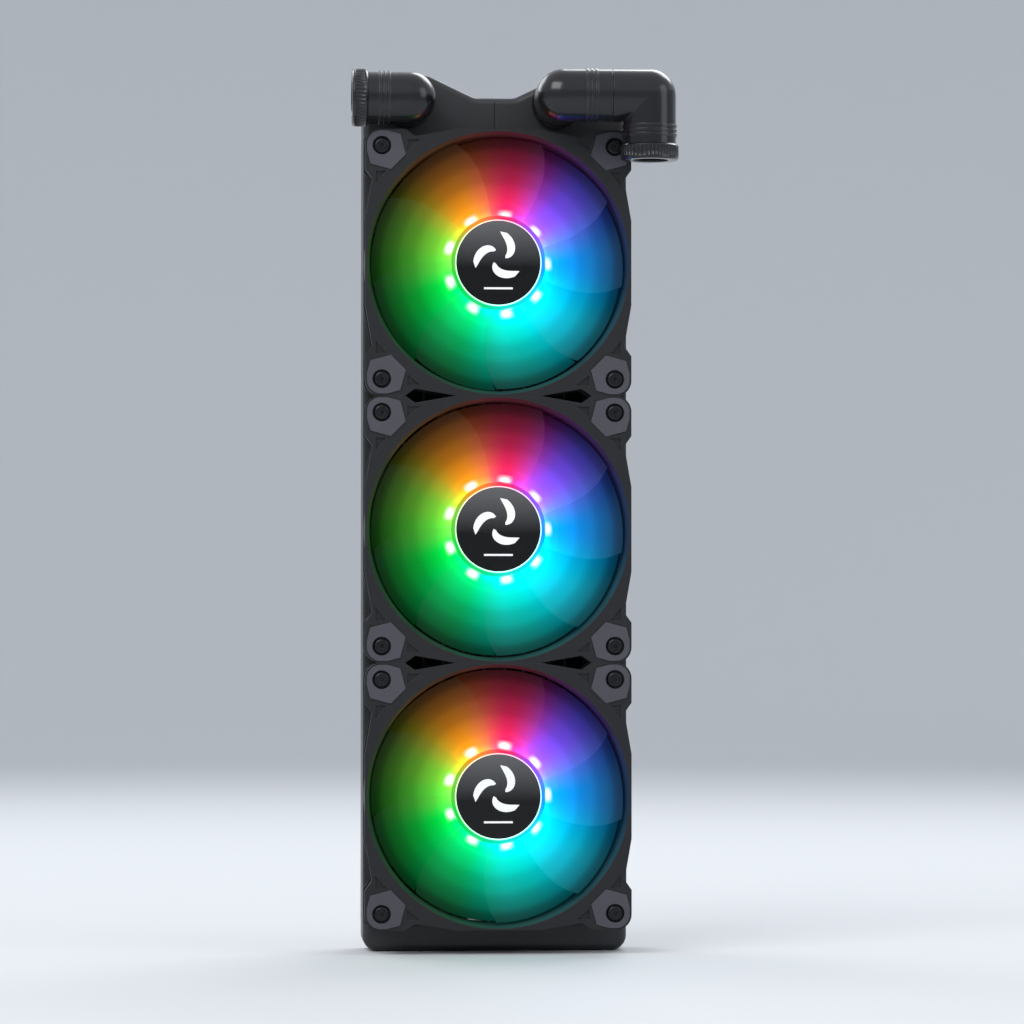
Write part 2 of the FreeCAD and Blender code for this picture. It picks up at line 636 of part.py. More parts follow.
def in_place(inner_piece):
    """A finished fan piece wrapped so that its own bound place stays as it is."""
    wrap = doc.addObject("Part::Compound", inner_piece.Name + "Placed")
    wrap.Links = [inner_piece]
    return wrap


def build_fan(title, level):
    tag = title.capitalize()
    frame = fan_frame(f"{tag}Frame")
    rotor = joined(f"{tag}Rotor", rotor_hub(f"{tag}Hub"), fan_blades(f"{tag}Blades"))
    magnet_outer = "hub_radius - hub_wall - yoke_thick"
    yoke = ring_body(f"{tag}Yoke", magnet_outer, "hub_radius - hub_wall", "magnet_foot", "yoke_length")
    magnet = ring_body(f"{tag}Magnet", f"{magnet_outer} - magnet_thick", magnet_outer, "magnet_foot",
                       "magnet_length")
    sleeve = ring_body(f"{tag}Sleeve", "shaft_radius + sleeve_gap", "bearing_bore",
                       "pad_rise + base_thick", "bearing_top - pad_rise - base_thick")
    board = ring_body(f"{tag}Board", "board_inner", "board_outer", "pad_rise + base_thick", "board_thick")
    parts = {"frame": frame, "pads": corner_pads(f"{tag}Pads"), "rotor": rotor,
             "hub_label": in_place(label(f"{tag}Label")), "rotor_yoke": yoke, "rotor_magnet": magnet,
             "rotor_shaft": in_place(shaft(f"{tag}Shaft")), "bearing_sleeve": sleeve,
             "stator_core": stator_core(f"{tag}Core"), "stator_coils": stator_coils(f"{tag}Coils"),
             "led_board": board, "leds": led_ring(f"{tag}Leds")}
    for name, shape_object in parts.items():
        stand_up(shape_object, level, size("led_turn") if name == "leds" else 0)
        piece(f"{title}_fan_{name}", shape_object)


def fan_screws():
    """Twelve M3 screws with socket button heads, through the fans into the rails' front flanges."""
    screw = body("FanScrew")
    head = [("0", "head_seat - screw_length"), ("screw_radius", "head_seat - screw_length"),
            ("screw_radius", "head_seat"), ("head_radius", "head_seat"),
            ("head_radius", "head_seat + head_height"), ("0", "head_seat + head_height")]
    turned(screw, outline(screw, "XZ_Plane", head, rounds={4: "head_height / 2"}))
    socket = [(f"socket_radius / cos(30) * cos({turn})", f"socket_radius / cos(30) * sin({turn})")
              for turn in range(0, 360, 60)]
    pocket(screw, outline(screw, "XY_Plane", socket, "head_seat + head_height"), "socket_depth")
    doc.recompute()
    half = size("screw_square") / 2
    facing = FreeCAD.Rotation(FreeCAD.Vector(1, 0, 0), 90)
    copies = []
    for fan in (-1, 0, 1):
        for end in (-1, 1):
            for side in (-1, 1):
                copy = doc.addObject("App::Link", "Screw")
                copy.setLink(screw)
                height = fan * size("fan_pitch") + end * half
                seat = FreeCAD.Vector(side * half, -size("radiator_depth"), height)
                copy.Placement = FreeCAD.Placement(seat, facing)
                copies.append(copy)
    return group("FanScrews", *copies)


# ---- fittings: each port's fitting is a base in the boss, a swivelling elbow and a clamp collar -------

FRONTWARD = ((1, 0, 0), 90)    # a primitive's own +Z turned to face -Y
LEFTWARD = ((0, 1, 0), -90)    # to face -X
RIGHTWARD = ((0, 1, 0), 90)    # to face +X
DOWNWARD = ((1, 0, 0), 180)    # to face -Z
BOSS_FACE = "-(radiator_depth + boss_length)"


def tube_piece(name, inner, outer, height, turn, place):
    """A plain ring along one direction."""
    skin = primitive("Cylinder", name + "Skin", turn, Radius=outer, Height=height, **place)
    bore = primitive("Cylinder", name + "Bore", turn, Radius=inner, Height=height, **place)
    return cut_from(name, skin, bore)


def seal(name, middle, turn, place):
    return primitive("Torus", name, turn, Radius1=middle, Radius2="seal_wire", **place)


def port_bosses():
    rings = [tube_piece(f"{side.capitalize()}Boss", "thread_radius", "boss_outer", "boss_length", FRONTWARD,
                        at(f"{side}_port", "-radiator_depth", "port_height")) for side in ("left", "right")]
    return group("PortBosses", *rings)


def fitting_base(name, port, face):
    """A threaded stub, a gripping flange and the spigot that an elbow swivels on."""
    def along(shift):
        return at(port, f"{face} - ({shift})", "port_height")

    stub = primitive("Cylinder", name + "Stub", FRONTWARD, Radius="thread_radius", Height="thread_length",
                     **along("-thread_length"))
    flange = primitive("Cylinder", name + "Flange", FRONTWARD, Radius="flange_radius",
                       Height="flange_length", **along("0"))
    spigot = primitive("Cylinder", name + "Spigot", FRONTWARD, Radius="spigot_radius",
                       Height="flange_length + spigot_length", **along("0"))
    groove = tube_piece(name + "Groove", "spigot_radius - 2 * seal_wire", "spigot_radius + groove_clear",
                        "2 * seal_wire", FRONTWARD, along("flange_length + spigot_length / 2 - seal_wire"))
    way = primitive("Cylinder", name + "Way", FRONTWARD, Radius="spigot_bore",
                    Height="thread_length + flange_length + spigot_length", **along("-thread_length"))
    solid = cut_from(name + "Grooved", joined(name + "Solid", stub, flange, spigot), groove)
    return cut_from(name, solid, way)


def elbow(name, corner, stem_turn, stem_place, stem_length, arm_turn, arm_length):
    """A ball-cornered elbow: a stem that swivels on a spigot and an arm that takes the next piece.

    The stem runs from stem_place to the corner; the arm runs from the corner.
    """
    stem = primitive("Cylinder", name + "Stem", stem_turn, Radius="elbow_radius", Height=stem_length,
                     **stem_place)
    ball = primitive("Sphere", name + "Ball", Radius="elbow_radius", **corner)
    arm = primitive("Cylinder", name + "Arm", arm_turn, Radius="elbow_radius", Height=arm_length, **corner)
    socket = primitive("Cylinder", name + "Socket", stem_turn, Radius="socket_fit",
                       Height="spigot_length + swivel_gap", **stem_place)
    stem_way = primitive("Cylinder", name + "StemWay", stem_turn, Radius="water_bore", Height=stem_length,
                         **stem_place)
    arm_way = primitive("Cylinder", name + "ArmWay", arm_turn, Radius="water_bore", Height=arm_length,
                        **corner)
    turn_way = primitive("Sphere", name + "TurnWay", Radius="water_bore", **corner)
    return (joined(name + "Solid", stem, ball, arm),
            joined(name + "Hollow", socket, stem_way, arm_way, turn_way))


def ring_places(along, first):
    """Where an arm's grip rings stand, from the first one outwards."""
    return [along(f"{first} + {step} * ring_step") for step in range(int(size("ring_count")))]


def grip_rings(name, turn, places):
    """Narrow raised rings around an arm."""
    return [primitive("Cylinder", f"{name}Ring{number}", turn, Radius="elbow_radius + ring_height",
                      Height="ring_width", **place) for number, place in enumerate(places)]


def collar(name, turn, mouth, nipple):
    """A clamp collar: a broad ring outside and a nipple that screws into the elbow's arm."""
    ring = primitive("Cylinder", name + "Ring", turn, Radius="collar_radius", Height="collar_length",
                     **mouth)
    neck = primitive("Cylinder", name + "Neck", turn, Radius="nipple_radius",
                     Height="nipple_length + collar_length / 2", **nipple)
    bore = primitive("Cylinder", name + "Bore", turn, Radius="tube_bore",
                     Height="nipple_length + collar_length", **nipple)
    return cut_from(name, joined(name + "Solid", ring, neck), bore)


def build_left_fitting():
    piece("left_base", fitting_base("LeftBase", "left_port", BOSS_FACE))
    stem_start = f"{BOSS_FACE} - flange_length - swivel_gap"
    axis = f"{BOSS_FACE} - flange_length - elbow_rise"

    def along(shift):
        return at(f"left_port - ({shift})", axis, "port_height")

    solid, hollow = elbow("LeftElbow", along("0"), FRONTWARD, at("left_port", stem_start, "port_height"),
                          "elbow_rise - swivel_gap", LEFTWARD, "left_reach")
    rings = grip_rings("LeftElbow", LEFTWARD, ring_places(along, "left_rings"))
    mouth = primitive("Cylinder", "LeftMouth", LEFTWARD, Radius="nipple_radius", Height="nipple_length",
                      **along("left_reach - nipple_length"))
    seat = primitive("Cylinder", "LeftSeat", LEFTWARD, Radius="tube_bore + 2 * seal_wire",
                     Height="seal_room", **along("left_reach - nipple_length - seal_room"))
    piece("left_elbow", cut_from("LeftElbow", joined("LeftElbowRinged", solid, *rings),
                                 joined("LeftElbowInside", hollow, mouth, seat)))
    piece("left_collar", collar("LeftCollar", LEFTWARD, along("left_reach"),
                                along("left_reach - nipple_length")))
    piece("left_tube_oring", in_place(seal("LeftSeal", "tube_bore + seal_wire", LEFTWARD,
                                           along("left_reach - nipple_length - seal_room / 2"))))


def build_right_fitting():
    extension_face = f"{BOSS_FACE} - extension_length"
    stub = primitive("Cylinder", "ExtensionStub", FRONTWARD, Radius="thread_radius", Height="thread_length",
                     **at("right_port", f"{BOSS_FACE} + thread_length", "port_height"))
    barrel = primitive("Cylinder", "ExtensionBarrel", FRONTWARD, Radius="extension_radius",
                       Height="extension_length", **at("right_port", BOSS_FACE, "port_height"))
    way = primitive("Cylinder", "ExtensionWay", FRONTWARD, Radius="spigot_bore",
                    Height="thread_length + extension_length",
                    **at("right_port", f"{BOSS_FACE} + thread_length", "port_height"))
    thread = primitive("Cylinder", "ExtensionThread", FRONTWARD, Radius="thread_radius",
                       Height="thread_length",
                       **at("right_port", f"{extension_face} + thread_length", "port_height"))
    piece("right_extension", cut_from("RightExtension", joined("ExtensionSolid", stub, barrel),
                                      joined("ExtensionInside", way, thread)))
    piece("right_base", fitting_base("RightBase", "right_port", extension_face))

    axis = f"{extension_face} - flange_length - elbow_rise"
    stem_start = f"{extension_face} - flange_length - swivel_gap"

    def along(shift):
        return at(f"right_port + {shift}", axis, "port_height")

    # the first elbow carries the spigot of the second on the end of its arm
    solid, hollow = elbow("RightArm", along("0"), FRONTWARD, at("right_port", stem_start, "port_height"),
                          "elbow_rise - swivel_gap", RIGHTWARD, "arm_reach")
    rings = grip_rings("RightArm", RIGHTWARD, ring_places(along, "arm_rings"))
    spigot = primitive("Cylinder", "ArmSpigot", RIGHTWARD, Radius="spigot_radius",
                       Height="arm_reach + spigot_length", **along("0"))
    arm_way = primitive("Cylinder", "ArmLongWay", RIGHTWARD, Radius="spigot_bore",
                        Height="arm_reach + spigot_length", **along("0"))
    groove = tube_piece("ArmGroove", "spigot_radius - 2 * seal_wire", "spigot_radius + groove_clear",
                        "2 * seal_wire", RIGHTWARD, along("arm_reach + spigot_length / 2 - seal_wire"))
    short_hollow = hollow.Shapes[0], hollow.Shapes[1], hollow.Shapes[3]
    inside = joined("RightArmInside", *short_hollow, arm_way, groove)
    doc.removeObject(hollow.Name)
    doc.removeObject("RightArmArmWay")
    piece("right_arm", cut_from("RightArm", joined("RightArmSolidRinged", solid, spigot, *rings), inside))

    corner_x = "right_port + arm_reach + drop_rise"
    solid, hollow = elbow("RightElbow", at(corner_x, axis, "port_height"), RIGHTWARD,
                          along("arm_reach + swivel_gap"), "drop_rise - swivel_gap", DOWNWARD, "drop_reach")

    def down(shift):
        return at(corner_x, axis, f"port_height - ({shift})")

    rings = grip_rings("RightElbow", DOWNWARD, ring_places(down, "drop_rings"))
    mouth = primitive("Cylinder", "RightMouth", DOWNWARD, Radius="nipple_radius", Height="nipple_length",
                      **down("drop_reach - nipple_length"))
    seat = primitive("Cylinder", "RightSeat", DOWNWARD, Radius="tube_bore + 2 * seal_wire",
                     Height="seal_room", **down("drop_reach - nipple_length - seal_room"))
    piece("right_elbow", cut_from("RightElbow", joined("RightElbowRinged", solid, *rings),
                                  joined("RightElbowInside", hollow, mouth, seat)))
    piece("right_collar", collar("RightCollar", DOWNWARD, down("drop_reach"),
                                 down("drop_reach - nipple_length")))
    piece("right_tube_oring", in_place(seal("RightSeal", "tube_bore + seal_wire", DOWNWARD,
                                            down("drop_reach - nipple_length - seal_room / 2"))))
    piece("right_swivel_oring", in_place(seal("ArmSeal", "spigot_radius - seal_wire", RIGHTWARD,
                                              along("arm_reach + spigot_length / 2"))))


def fitting_orings():
    """The seals in the spigots of the two bases."""
    middle = "flange_length + spigot_length / 2"
    places = {"left_port": f"{BOSS_FACE} - ({middle})",
              "right_port": f"{BOSS_FACE} - extension_length - ({middle})"}
    seals = [seal(f"BaseSeal{number}", "spigot_radius - seal_wire", FRONTWARD,
                  at(port, level, "port_height")) for number, (port, level) in enumerate(places.items())]
    return group("FittingSeals", *seals)


# ---- the whole part -----------------------------------------------------------------------------

build_radiator()
build_fan("top", 1)
build_fan("middle", 0)
build_fan("bottom", -1)
piece("fan_screws", fan_screws())
piece("port_bosses", port_bosses())
build_left_fitting()
build_right_fitting()
piece("fitting_orings", fitting_orings())
doc.recompute()

for item in doc.Objects:
    bad = {"Invalid", "Error"} & set(item.State)
    if bad:
        raise RuntimeError(f"{item.Label} is {bad}")
for item in doc.Objects:
    if item.TypeId in ("PartDesign::Pocket", "PartDesign::Groove"):
        if item.Shape.Volume >= item.BaseFeature.Shape.Volume - 1e-6:
            raise RuntimeError(f"{item.Label} cuts nothing")
os.makedirs("parts", exist_ok=True)
for item in PIECES:
    shape = item.Shape
    if shape.isNull() or not shape.isValid():
        raise RuntimeError(f"{item.Label} has no sound shape")
    shape.exportStep(f"parts/{item.Label}.step")
    print(f"{item.Label}: {len(shape.Solids)} solids, {shape.Volume:.0f} mm3")
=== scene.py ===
import math

import bpy
from mathutils import Matrix, Vector


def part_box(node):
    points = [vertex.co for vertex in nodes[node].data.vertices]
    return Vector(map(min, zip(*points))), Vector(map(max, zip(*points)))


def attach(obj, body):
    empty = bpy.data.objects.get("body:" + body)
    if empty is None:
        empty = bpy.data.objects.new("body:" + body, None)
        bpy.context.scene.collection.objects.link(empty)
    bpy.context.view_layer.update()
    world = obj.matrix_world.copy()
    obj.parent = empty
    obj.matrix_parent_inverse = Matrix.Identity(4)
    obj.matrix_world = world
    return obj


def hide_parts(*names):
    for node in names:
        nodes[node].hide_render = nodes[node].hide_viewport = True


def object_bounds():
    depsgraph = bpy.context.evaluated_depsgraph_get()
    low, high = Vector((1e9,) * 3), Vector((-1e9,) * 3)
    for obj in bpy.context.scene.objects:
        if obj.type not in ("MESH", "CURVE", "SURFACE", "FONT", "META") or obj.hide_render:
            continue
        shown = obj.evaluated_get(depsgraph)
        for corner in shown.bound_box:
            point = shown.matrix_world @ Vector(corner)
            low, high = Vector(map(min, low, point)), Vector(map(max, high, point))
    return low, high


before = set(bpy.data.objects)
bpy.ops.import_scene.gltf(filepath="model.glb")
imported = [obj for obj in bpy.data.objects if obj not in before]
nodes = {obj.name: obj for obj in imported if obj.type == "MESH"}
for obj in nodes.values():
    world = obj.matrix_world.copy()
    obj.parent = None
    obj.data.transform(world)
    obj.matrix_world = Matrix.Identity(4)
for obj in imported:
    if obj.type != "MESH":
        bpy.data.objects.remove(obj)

cad_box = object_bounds()


# ---- Table top and backdrop ---------------------------------------------------------------------
# A pale matt bowl: a flat round table that curves up into a low wall all the way round, so that
# no horizon shows from any side. The radiator stands on it by the foot of its lower tank.
FLOOR_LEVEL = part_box("return_tank")[0].z
TABLE_RADIUS, BEND_RADIUS, WALL_TOP = 2.5, 0.9, 1.3
CENTRE_DISC = 0.02
PALE_PAINT, PAINT_ROUGHNESS = (0.6, 0.615, 0.64, 1), 0.7
BOWL_SIDES, BEND_STEPS = 96, 16


def mesh_object(name, points, faces, smooth=False):
    """A mesh object made from points and faces, in metres, in the frame of the whole object."""
    mesh = bpy.data.meshes.new(name)
    mesh.from_pydata([tuple(point) for point in points], [], faces)
    mesh.update()
    if smooth:
        mesh.shade_smooth()
    made = bpy.data.objects.new(name, mesh)
    bpy.context.scene.collection.objects.link(made)
    return made


def new_node(tree, kind, **settings):
    made = tree.nodes.new("ShaderNode" + kind)
    for name, value in settings.items():
        setattr(made, name, value)
    return made


def feed(tree, value, socket):
    """Links an output to a socket, or sets the socket to a plain value."""
    if isinstance(value, bpy.types.NodeSocket):
        tree.links.new(value, socket)
    else:
        socket.default_value = value


def new_material(name):
    """A material with nothing but its Principled shader."""
    material = bpy.data.materials.new(name)
    material.use_nodes = True
    tree = material.node_tree
    shader = tree.nodes["Principled BSDF"]
    return material, tree, shader


def wear(obj, material):
    """Puts one material on the whole of a piece."""
    obj.data.materials.clear()
    obj.data.materials.append(material)


profile = [(CENTRE_DISC, 0.0), (TABLE_RADIUS / 2, 0.0)]
for step in range(BEND_STEPS + 1):
    turn = math.pi / 2 * step / BEND_STEPS
    profile.append((TABLE_RADIUS + BEND_RADIUS * math.sin(turn), BEND_RADIUS * (1 - math.cos(turn))))
profile.append((TABLE_RADIUS + BEND_RADIUS, WALL_TOP))
points, faces = [], []
for reach, rise in profile:
    for side in range(BOWL_SIDES):
        angle = 2 * math.pi * side / BOWL_SIDES
        points.append((reach * math.cos(angle), reach * math.sin(angle), FLOOR_LEVEL + rise))
faces.append(tuple(range(BOWL_SIDES)))
for ring in range(len(profile) - 1):
    for side in range(BOWL_SIDES):
        beside = (side + 1) % BOWL_SIDES
        faces.append((ring * BOWL_SIDES + side, (ring + 1) * BOWL_SIDES + side,
                      (ring + 1) * BOWL_SIDES + beside, ring * BOWL_SIDES + beside))
sweep = mesh_object("backdrop_bowl", points, faces, smooth=True)
sweep_paint, tree, shader = new_material("Pale sweep")
shader.inputs["Base Color"].default_value = PALE_PAINT
shader.inputs["Roughness"].default_value = PAINT_ROUGHNESS
wear(sweep, sweep_paint)


# ---- Camera and lamps ---------------------------------------------------------------------------
# The camera looks almost square-on at the fans from a little left of centre and just below it.
# Four large soft lamps and a pale room leave the fans' own light as the strongest colour.
low, high = cad_box
OBJECT_CENTRE = (Vector(low) + Vector(high)) / 2
CAMERA_AZIMUTH, CAMERA_ELEVATION = math.radians(-4.0), math.radians(-1.2)
CAMERA_DISTANCE = 2.1
FRAME_FILL = 0.86
SENSOR_MM = 36.0
NEAREST_SEEN = 0.05
ROOM_COLOUR, ROOM_STRENGTH = (0.86, 0.9, 0.95, 1), 0.87


def standing_at(azimuth, elevation, distance):
    """A point seen from the object's centre; azimuth 0 is straight in front of the fans."""
    flat = math.cos(elevation)
    way = Vector((math.sin(azimuth) * flat, -math.cos(azimuth) * flat, math.sin(elevation)))
    return OBJECT_CENTRE + distance * way


def aim(obj, target):
    obj.rotation_euler = (target - obj.location).to_track_quat("-Z", "Y").to_euler()


camera_data = bpy.data.cameras.new("Camera")
camera_data.sensor_width = SENSOR_MM
camera_data.lens = SENSOR_MM * CAMERA_DISTANCE * FRAME_FILL / (high[2] - low[2])
camera_data.clip_start = NEAREST_SEEN
camera = bpy.data.objects.new("Camera", camera_data)
bpy.context.scene.collection.objects.link(camera)
camera.location = standing_at(CAMERA_AZIMUTH, CAMERA_ELEVATION, CAMERA_DISTANCE)
aim(camera, OBJECT_CENTRE)
bpy.context.scene.camera = camera


def soft_lamp(name, azimuth, elevation, distance, size, power, colour):
    """A rectangular lamp that faces the object; angles in degrees, size in metres, power in watts."""
    data = bpy.data.lights.new(name, "AREA")
    data.shape = "RECTANGLE"
    data.size, data.size_y = size
    data.energy = power
    data.color = colour
    lamp = bpy.data.objects.new(name, data)
    bpy.context.scene.collection.objects.link(lamp)
    lamp.location = standing_at(math.radians(azimuth), math.radians(elevation), distance)
    aim(lamp, OBJECT_CENTRE)


soft_lamp("Key", azimuth=-38, elevation=42, distance=1.7, size=(1.1, 0.8), power=14,
          colour=(1.0, 0.98, 0.95))
soft_lamp("Fill", azimuth=62, elevation=24, distance=1.9, size=(0.9, 1.1), power=5,
          colour=(0.92, 0.96, 1.0))
soft_lamp("Back", azimuth=150, elevation=42, distance=1.8, size=(1.1, 0.8), power=12,
          colour=(1.0, 1.0, 1.0))
soft_lamp("Back left", azimuth=-140, elevation=30, distance=1.9, size=(1.0, 0.9), power=9,
          colour=(0.95, 0.97, 1.0))
world = bpy.data.worlds.new("Room")
bpy.context.scene.world = world
world.use_nodes = True
room = world.node_tree.nodes["Background"]
room.inputs["Color"].default_value = ROOM_COLOUR
room.inputs["Strength"].default_value = ROOM_STRENGTH
bpy.context.scene.view_settings.view_transform = "Standard"


# ---- Tanks, header plates and side rails --------------------------------------------------------
# Pressed and folded sheet, soldered together and powder coated satin black as one shell.
# The coat has a fine orange peel and thins to a greyer film on the bends.
MM = 0.001
SHELL_NODES = ("port_tank", "return_tank", "port_header_plate", "return_header_plate",
               "left_side_plate", "right_side_plate")
RUB_PATCH, RUB_PATCH_CONTRAST, RUB_GAIN = 4 * MM, 1.5, 9.0
CLOUD_SIZE, CLOUD_DETAIL, CLOUD_SHARE = 30 * MM, 4.0, 0.75
GRAIN_DETAIL = 3.0
CLOUD_LIFT = 1.35


def new_group(name, inputs, outputs):
    """An empty shader node group; sockets are (name, kind, starting value) and (name, kind)."""
    tree = bpy.data.node_groups.new(name, "ShaderNodeTree")
    for label, kind, value in inputs:
        socket = tree.interface.new_socket(name=label, in_out="INPUT", socket_type="NodeSocket" + kind)
        socket.default_value = value
    for label, kind in outputs:
        tree.interface.new_socket(name=label, in_out="OUTPUT", socket_type="NodeSocket" + kind)
    return tree, tree.nodes.new("NodeGroupInput"), tree.nodes.new("NodeGroupOutput")


def calculate(tree, operation, *values):
    made = new_node(tree, "Math", operation=operation)
    for value, socket in zip(values, made.inputs):
        feed(tree, value, socket)
    return made.outputs[0]


def blend_colours(tree, factor, first, second):
    made = new_node(tree, "Mix", data_type="RGBA")
    feed(tree, factor, made.inputs[0])
    feed(tree, first, made.inputs[6])
    feed(tree, second, made.inputs[7])
    return made.outputs[2]


def object_noise(tree, size, detail=2.0):
    """Noise over the piece's own coordinates; size is the grain's width in metres."""
    place = new_node(tree, "TexCoord")
    noise = new_node(tree, "TexNoise")
    noise.inputs["Detail"].default_value = detail
    tree.links.new(place.outputs["Object"], noise.inputs["Vector"])
    feed(tree, calculate(tree, "DIVIDE", 1.0, size), noise.inputs["Scale"])
    return noise.outputs["Fac"]


def make_edge_group():
    """Rounds sharp edges in the shading and finds where hands and tools have rubbed them."""
    tree, entry, result = new_group("Eased edges", [("Radius", "Float", 0.0004), ("Rub", "Float", 0.5)],
                                    [("Normal", "Vector"), ("Worn", "Float")])
    bevel = new_node(tree, "Bevel", samples=4)
    tree.links.new(entry.outputs["Radius"], bevel.inputs["Radius"])
    flat = new_node(tree, "NewGeometry")
    facing = new_node(tree, "VectorMath", operation="DOT_PRODUCT")
    tree.links.new(bevel.outputs["Normal"], facing.inputs[0])
    tree.links.new(flat.outputs["Normal"], facing.inputs[1])
    turned = calculate(tree, "SUBTRACT", 1.0, facing.outputs["Value"])
    patchy = calculate(tree, "POWER", object_noise(tree, RUB_PATCH), RUB_PATCH_CONTRAST)
    rubbed = calculate(tree, "MULTIPLY", calculate(tree, "MULTIPLY", turned, RUB_GAIN), patchy)
    kept = calculate(tree, "MULTIPLY", rubbed, entry.outputs["Rub"])
    limited = calculate(tree, "MINIMUM", kept, 1.0)
    tree.links.new(bevel.outputs["Normal"], result.inputs["Normal"])
    tree.links.new(limited, result.inputs["Worn"])
    return tree


def make_skin_group():
    """The fine relief of a surface and its uneven gloss."""
    tree, entry, result = new_group("Skin", [("Grain size", "Float", 0.0005), ("Gloss low", "Float", 0.3),
                                             ("Gloss high", "Float", 0.5)],
                                    [("Height", "Float"), ("Roughness", "Float"), ("Tone", "Float")])
    grain = object_noise(tree, entry.outputs["Grain size"], GRAIN_DETAIL)
    cloudy = object_noise(tree, CLOUD_SIZE, CLOUD_DETAIL)
    spread = calculate(tree, "SUBTRACT", entry.outputs["Gloss high"], entry.outputs["Gloss low"])
    mixed = calculate(tree, "ADD", calculate(tree, "MULTIPLY", cloudy, CLOUD_SHARE),
                      calculate(tree, "MULTIPLY", grain, 1 - CLOUD_SHARE))
    rough = calculate(tree, "ADD", entry.outputs["Gloss low"], calculate(tree, "MULTIPLY", spread, mixed))
    tree.links.new(grain, result.inputs["Height"])
    tree.links.new(rough, result.inputs["Roughness"])
    tree.links.new(cloudy, result.inputs["Tone"])
    return tree


EASED_EDGES = make_edge_group()
SKIN = make_skin_group()


def place_group(tree, group, **values):
    """Puts a shared effect in a material with its own values."""
    made = new_node(tree, "Group", node_tree=group)
    for name, value in values.items():
        feed(tree, value, made.inputs[name.replace("_", " ")])
    return made


def add_relief(tree, shader, height, depth, below=None):
    """Raises the surface by a mask, depth metres at most, over another normal where one is given."""
    relief = new_node(tree, "Bump")
    relief.inputs["Distance"].default_value = depth
    tree.links.new(height, relief.inputs["Height"])
    if below is not None:
        tree.links.new(below, relief.inputs["Normal"])
    tree.links.new(relief.outputs["Normal"], shader.inputs["Normal"])


def add_skin(tree, shader, edge, rub, grain, depth, gloss):
    """Eases edges over edge metres and gives the surface a grain of that width and depth, with
    its roughness between the two gloss values. Returns the two placed groups."""
    edges = place_group(tree, EASED_EDGES, Radius=edge, Rub=rub)
    skin = place_group(tree, SKIN, Grain_size=grain, Gloss_low=gloss[0], Gloss_high=gloss[1])
    tree.links.new(skin.outputs["Roughness"], shader.inputs["Roughness"])
    add_relief(tree, shader, skin.outputs["Height"], depth, below=edges.outputs["Normal"])
    return edges, skin


def new_finish(name, colour, worn_colour, edge, rub, grain, depth, gloss):
    """A coated, moulded or plated finish: a cloudy colour, worn to another where edges are rubbed."""
    material, tree, shader = new_material(name)
    edges, skin = add_skin(tree, shader, edge, rub, grain, depth, gloss)
    lighter = tuple(min(1.0, channel * CLOUD_LIFT) for channel in colour)
    cloudy = blend_colours(tree, skin.outputs["Tone"], (*colour, 1), (*lighter, 1))
    base = blend_colours(tree, edges.outputs["Worn"], cloudy, (*worn_colour, 1))
    tree.links.new(base, shader.inputs["Base Color"])
    return material, tree, shader


def set_gloss(shader, specular=None, metallic=None, coat=None, coat_roughness=None):
    """Sets the shader's own plain values, where the finish needs others than the usual ones."""
    settings = {"Specular IOR Level": specular, "Metallic": metallic, "Coat Weight": coat,
                "Coat Roughness": coat_roughness}
    for label, value in settings.items():
        if value is not None:
            shader.inputs[label].default_value = value


powder_coat, tree, shader = new_finish(
    "Satin black powder coat", (0.02, 0.02, 0.022), (0.075, 0.075, 0.08),
    edge=0.6 * MM, rub=0.6, grain=0.9 * MM, depth=0.06 * MM, gloss=(0.34, 0.5))
set_gloss(shader, specular=0.38, coat=0.1, coat_roughness=0.35)
for name in SHELL_NODES:
    wear(nodes[name], powder_coat)


# ---- Tank divider -------------------------------------------------------------------------------
# A plain brass plate inside the upper tank that keeps the inlet and the outlet apart. It is
# soldered in before the tank is closed, so it stays unpainted.
bare_brass, tree, shader = new_finish(
    "Bare brass", (0.62, 0.43, 0.17), (0.8, 0.62, 0.3),
    edge=0.2 * MM, rub=0.5, grain=0.3 * MM, depth=0.01 * MM, gloss=(0.25, 0.42))
set_gloss(shader, metallic=1.0)
wear(nodes["tank_divider"], bare_brass)


# ---- Flat coolant tubes -------------------------------------------------------------------------
# Twelve seamed brass tubes with round noses, soldered into the header plates and sprayed black
# together with the fins.
tube_paint, tree, shader = new_finish(
    "Sprayed tube black", (0.014, 0.014, 0.015), (0.12, 0.09, 0.05),
    edge=0.3 * MM, rub=0.25, grain=0.6 * MM, depth=0.03 * MM, gloss=(0.42, 0.6))
wear(nodes["flat_tubes"], tube_paint)


# ---- Folded fins --------------------------------------------------------------------------------
# Thin copper strip folded to and fro between the tubes, with louvres cut across each fold.
# One strip is folded here and repeated in every space between tubes and rails.
STRIP_THICK = 0.12 * MM
FOLD_PITCH_WANTED, CREST_SHARE = 2.7 * MM, 0.45
FIN_LOUVRES, LOUVRE_LIFT = 6, 1.42 * MM
END_GAP = 0.85 * MM
TUBE_COUNT, TUBE_WIDTH = 12, 2.0 * MM
core_low, core_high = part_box("fin_stacks")
tube_low, tube_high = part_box("flat_tubes")
tube_step = (tube_high.x - tube_low.x - TUBE_WIDTH) / (TUBE_COUNT - 1)
fold_half = (tube_step - TUBE_WIDTH) / 2 - STRIP_THICK
fin_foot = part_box("return_header_plate")[1].z + END_GAP
fin_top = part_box("port_header_plate")[0].z - END_GAP
folds = round((fin_top - fin_foot) / FOLD_PITCH_WANTED)
fold_pitch = (fin_top - fin_foot) / folds
crest = CREST_SHARE * fold_pitch


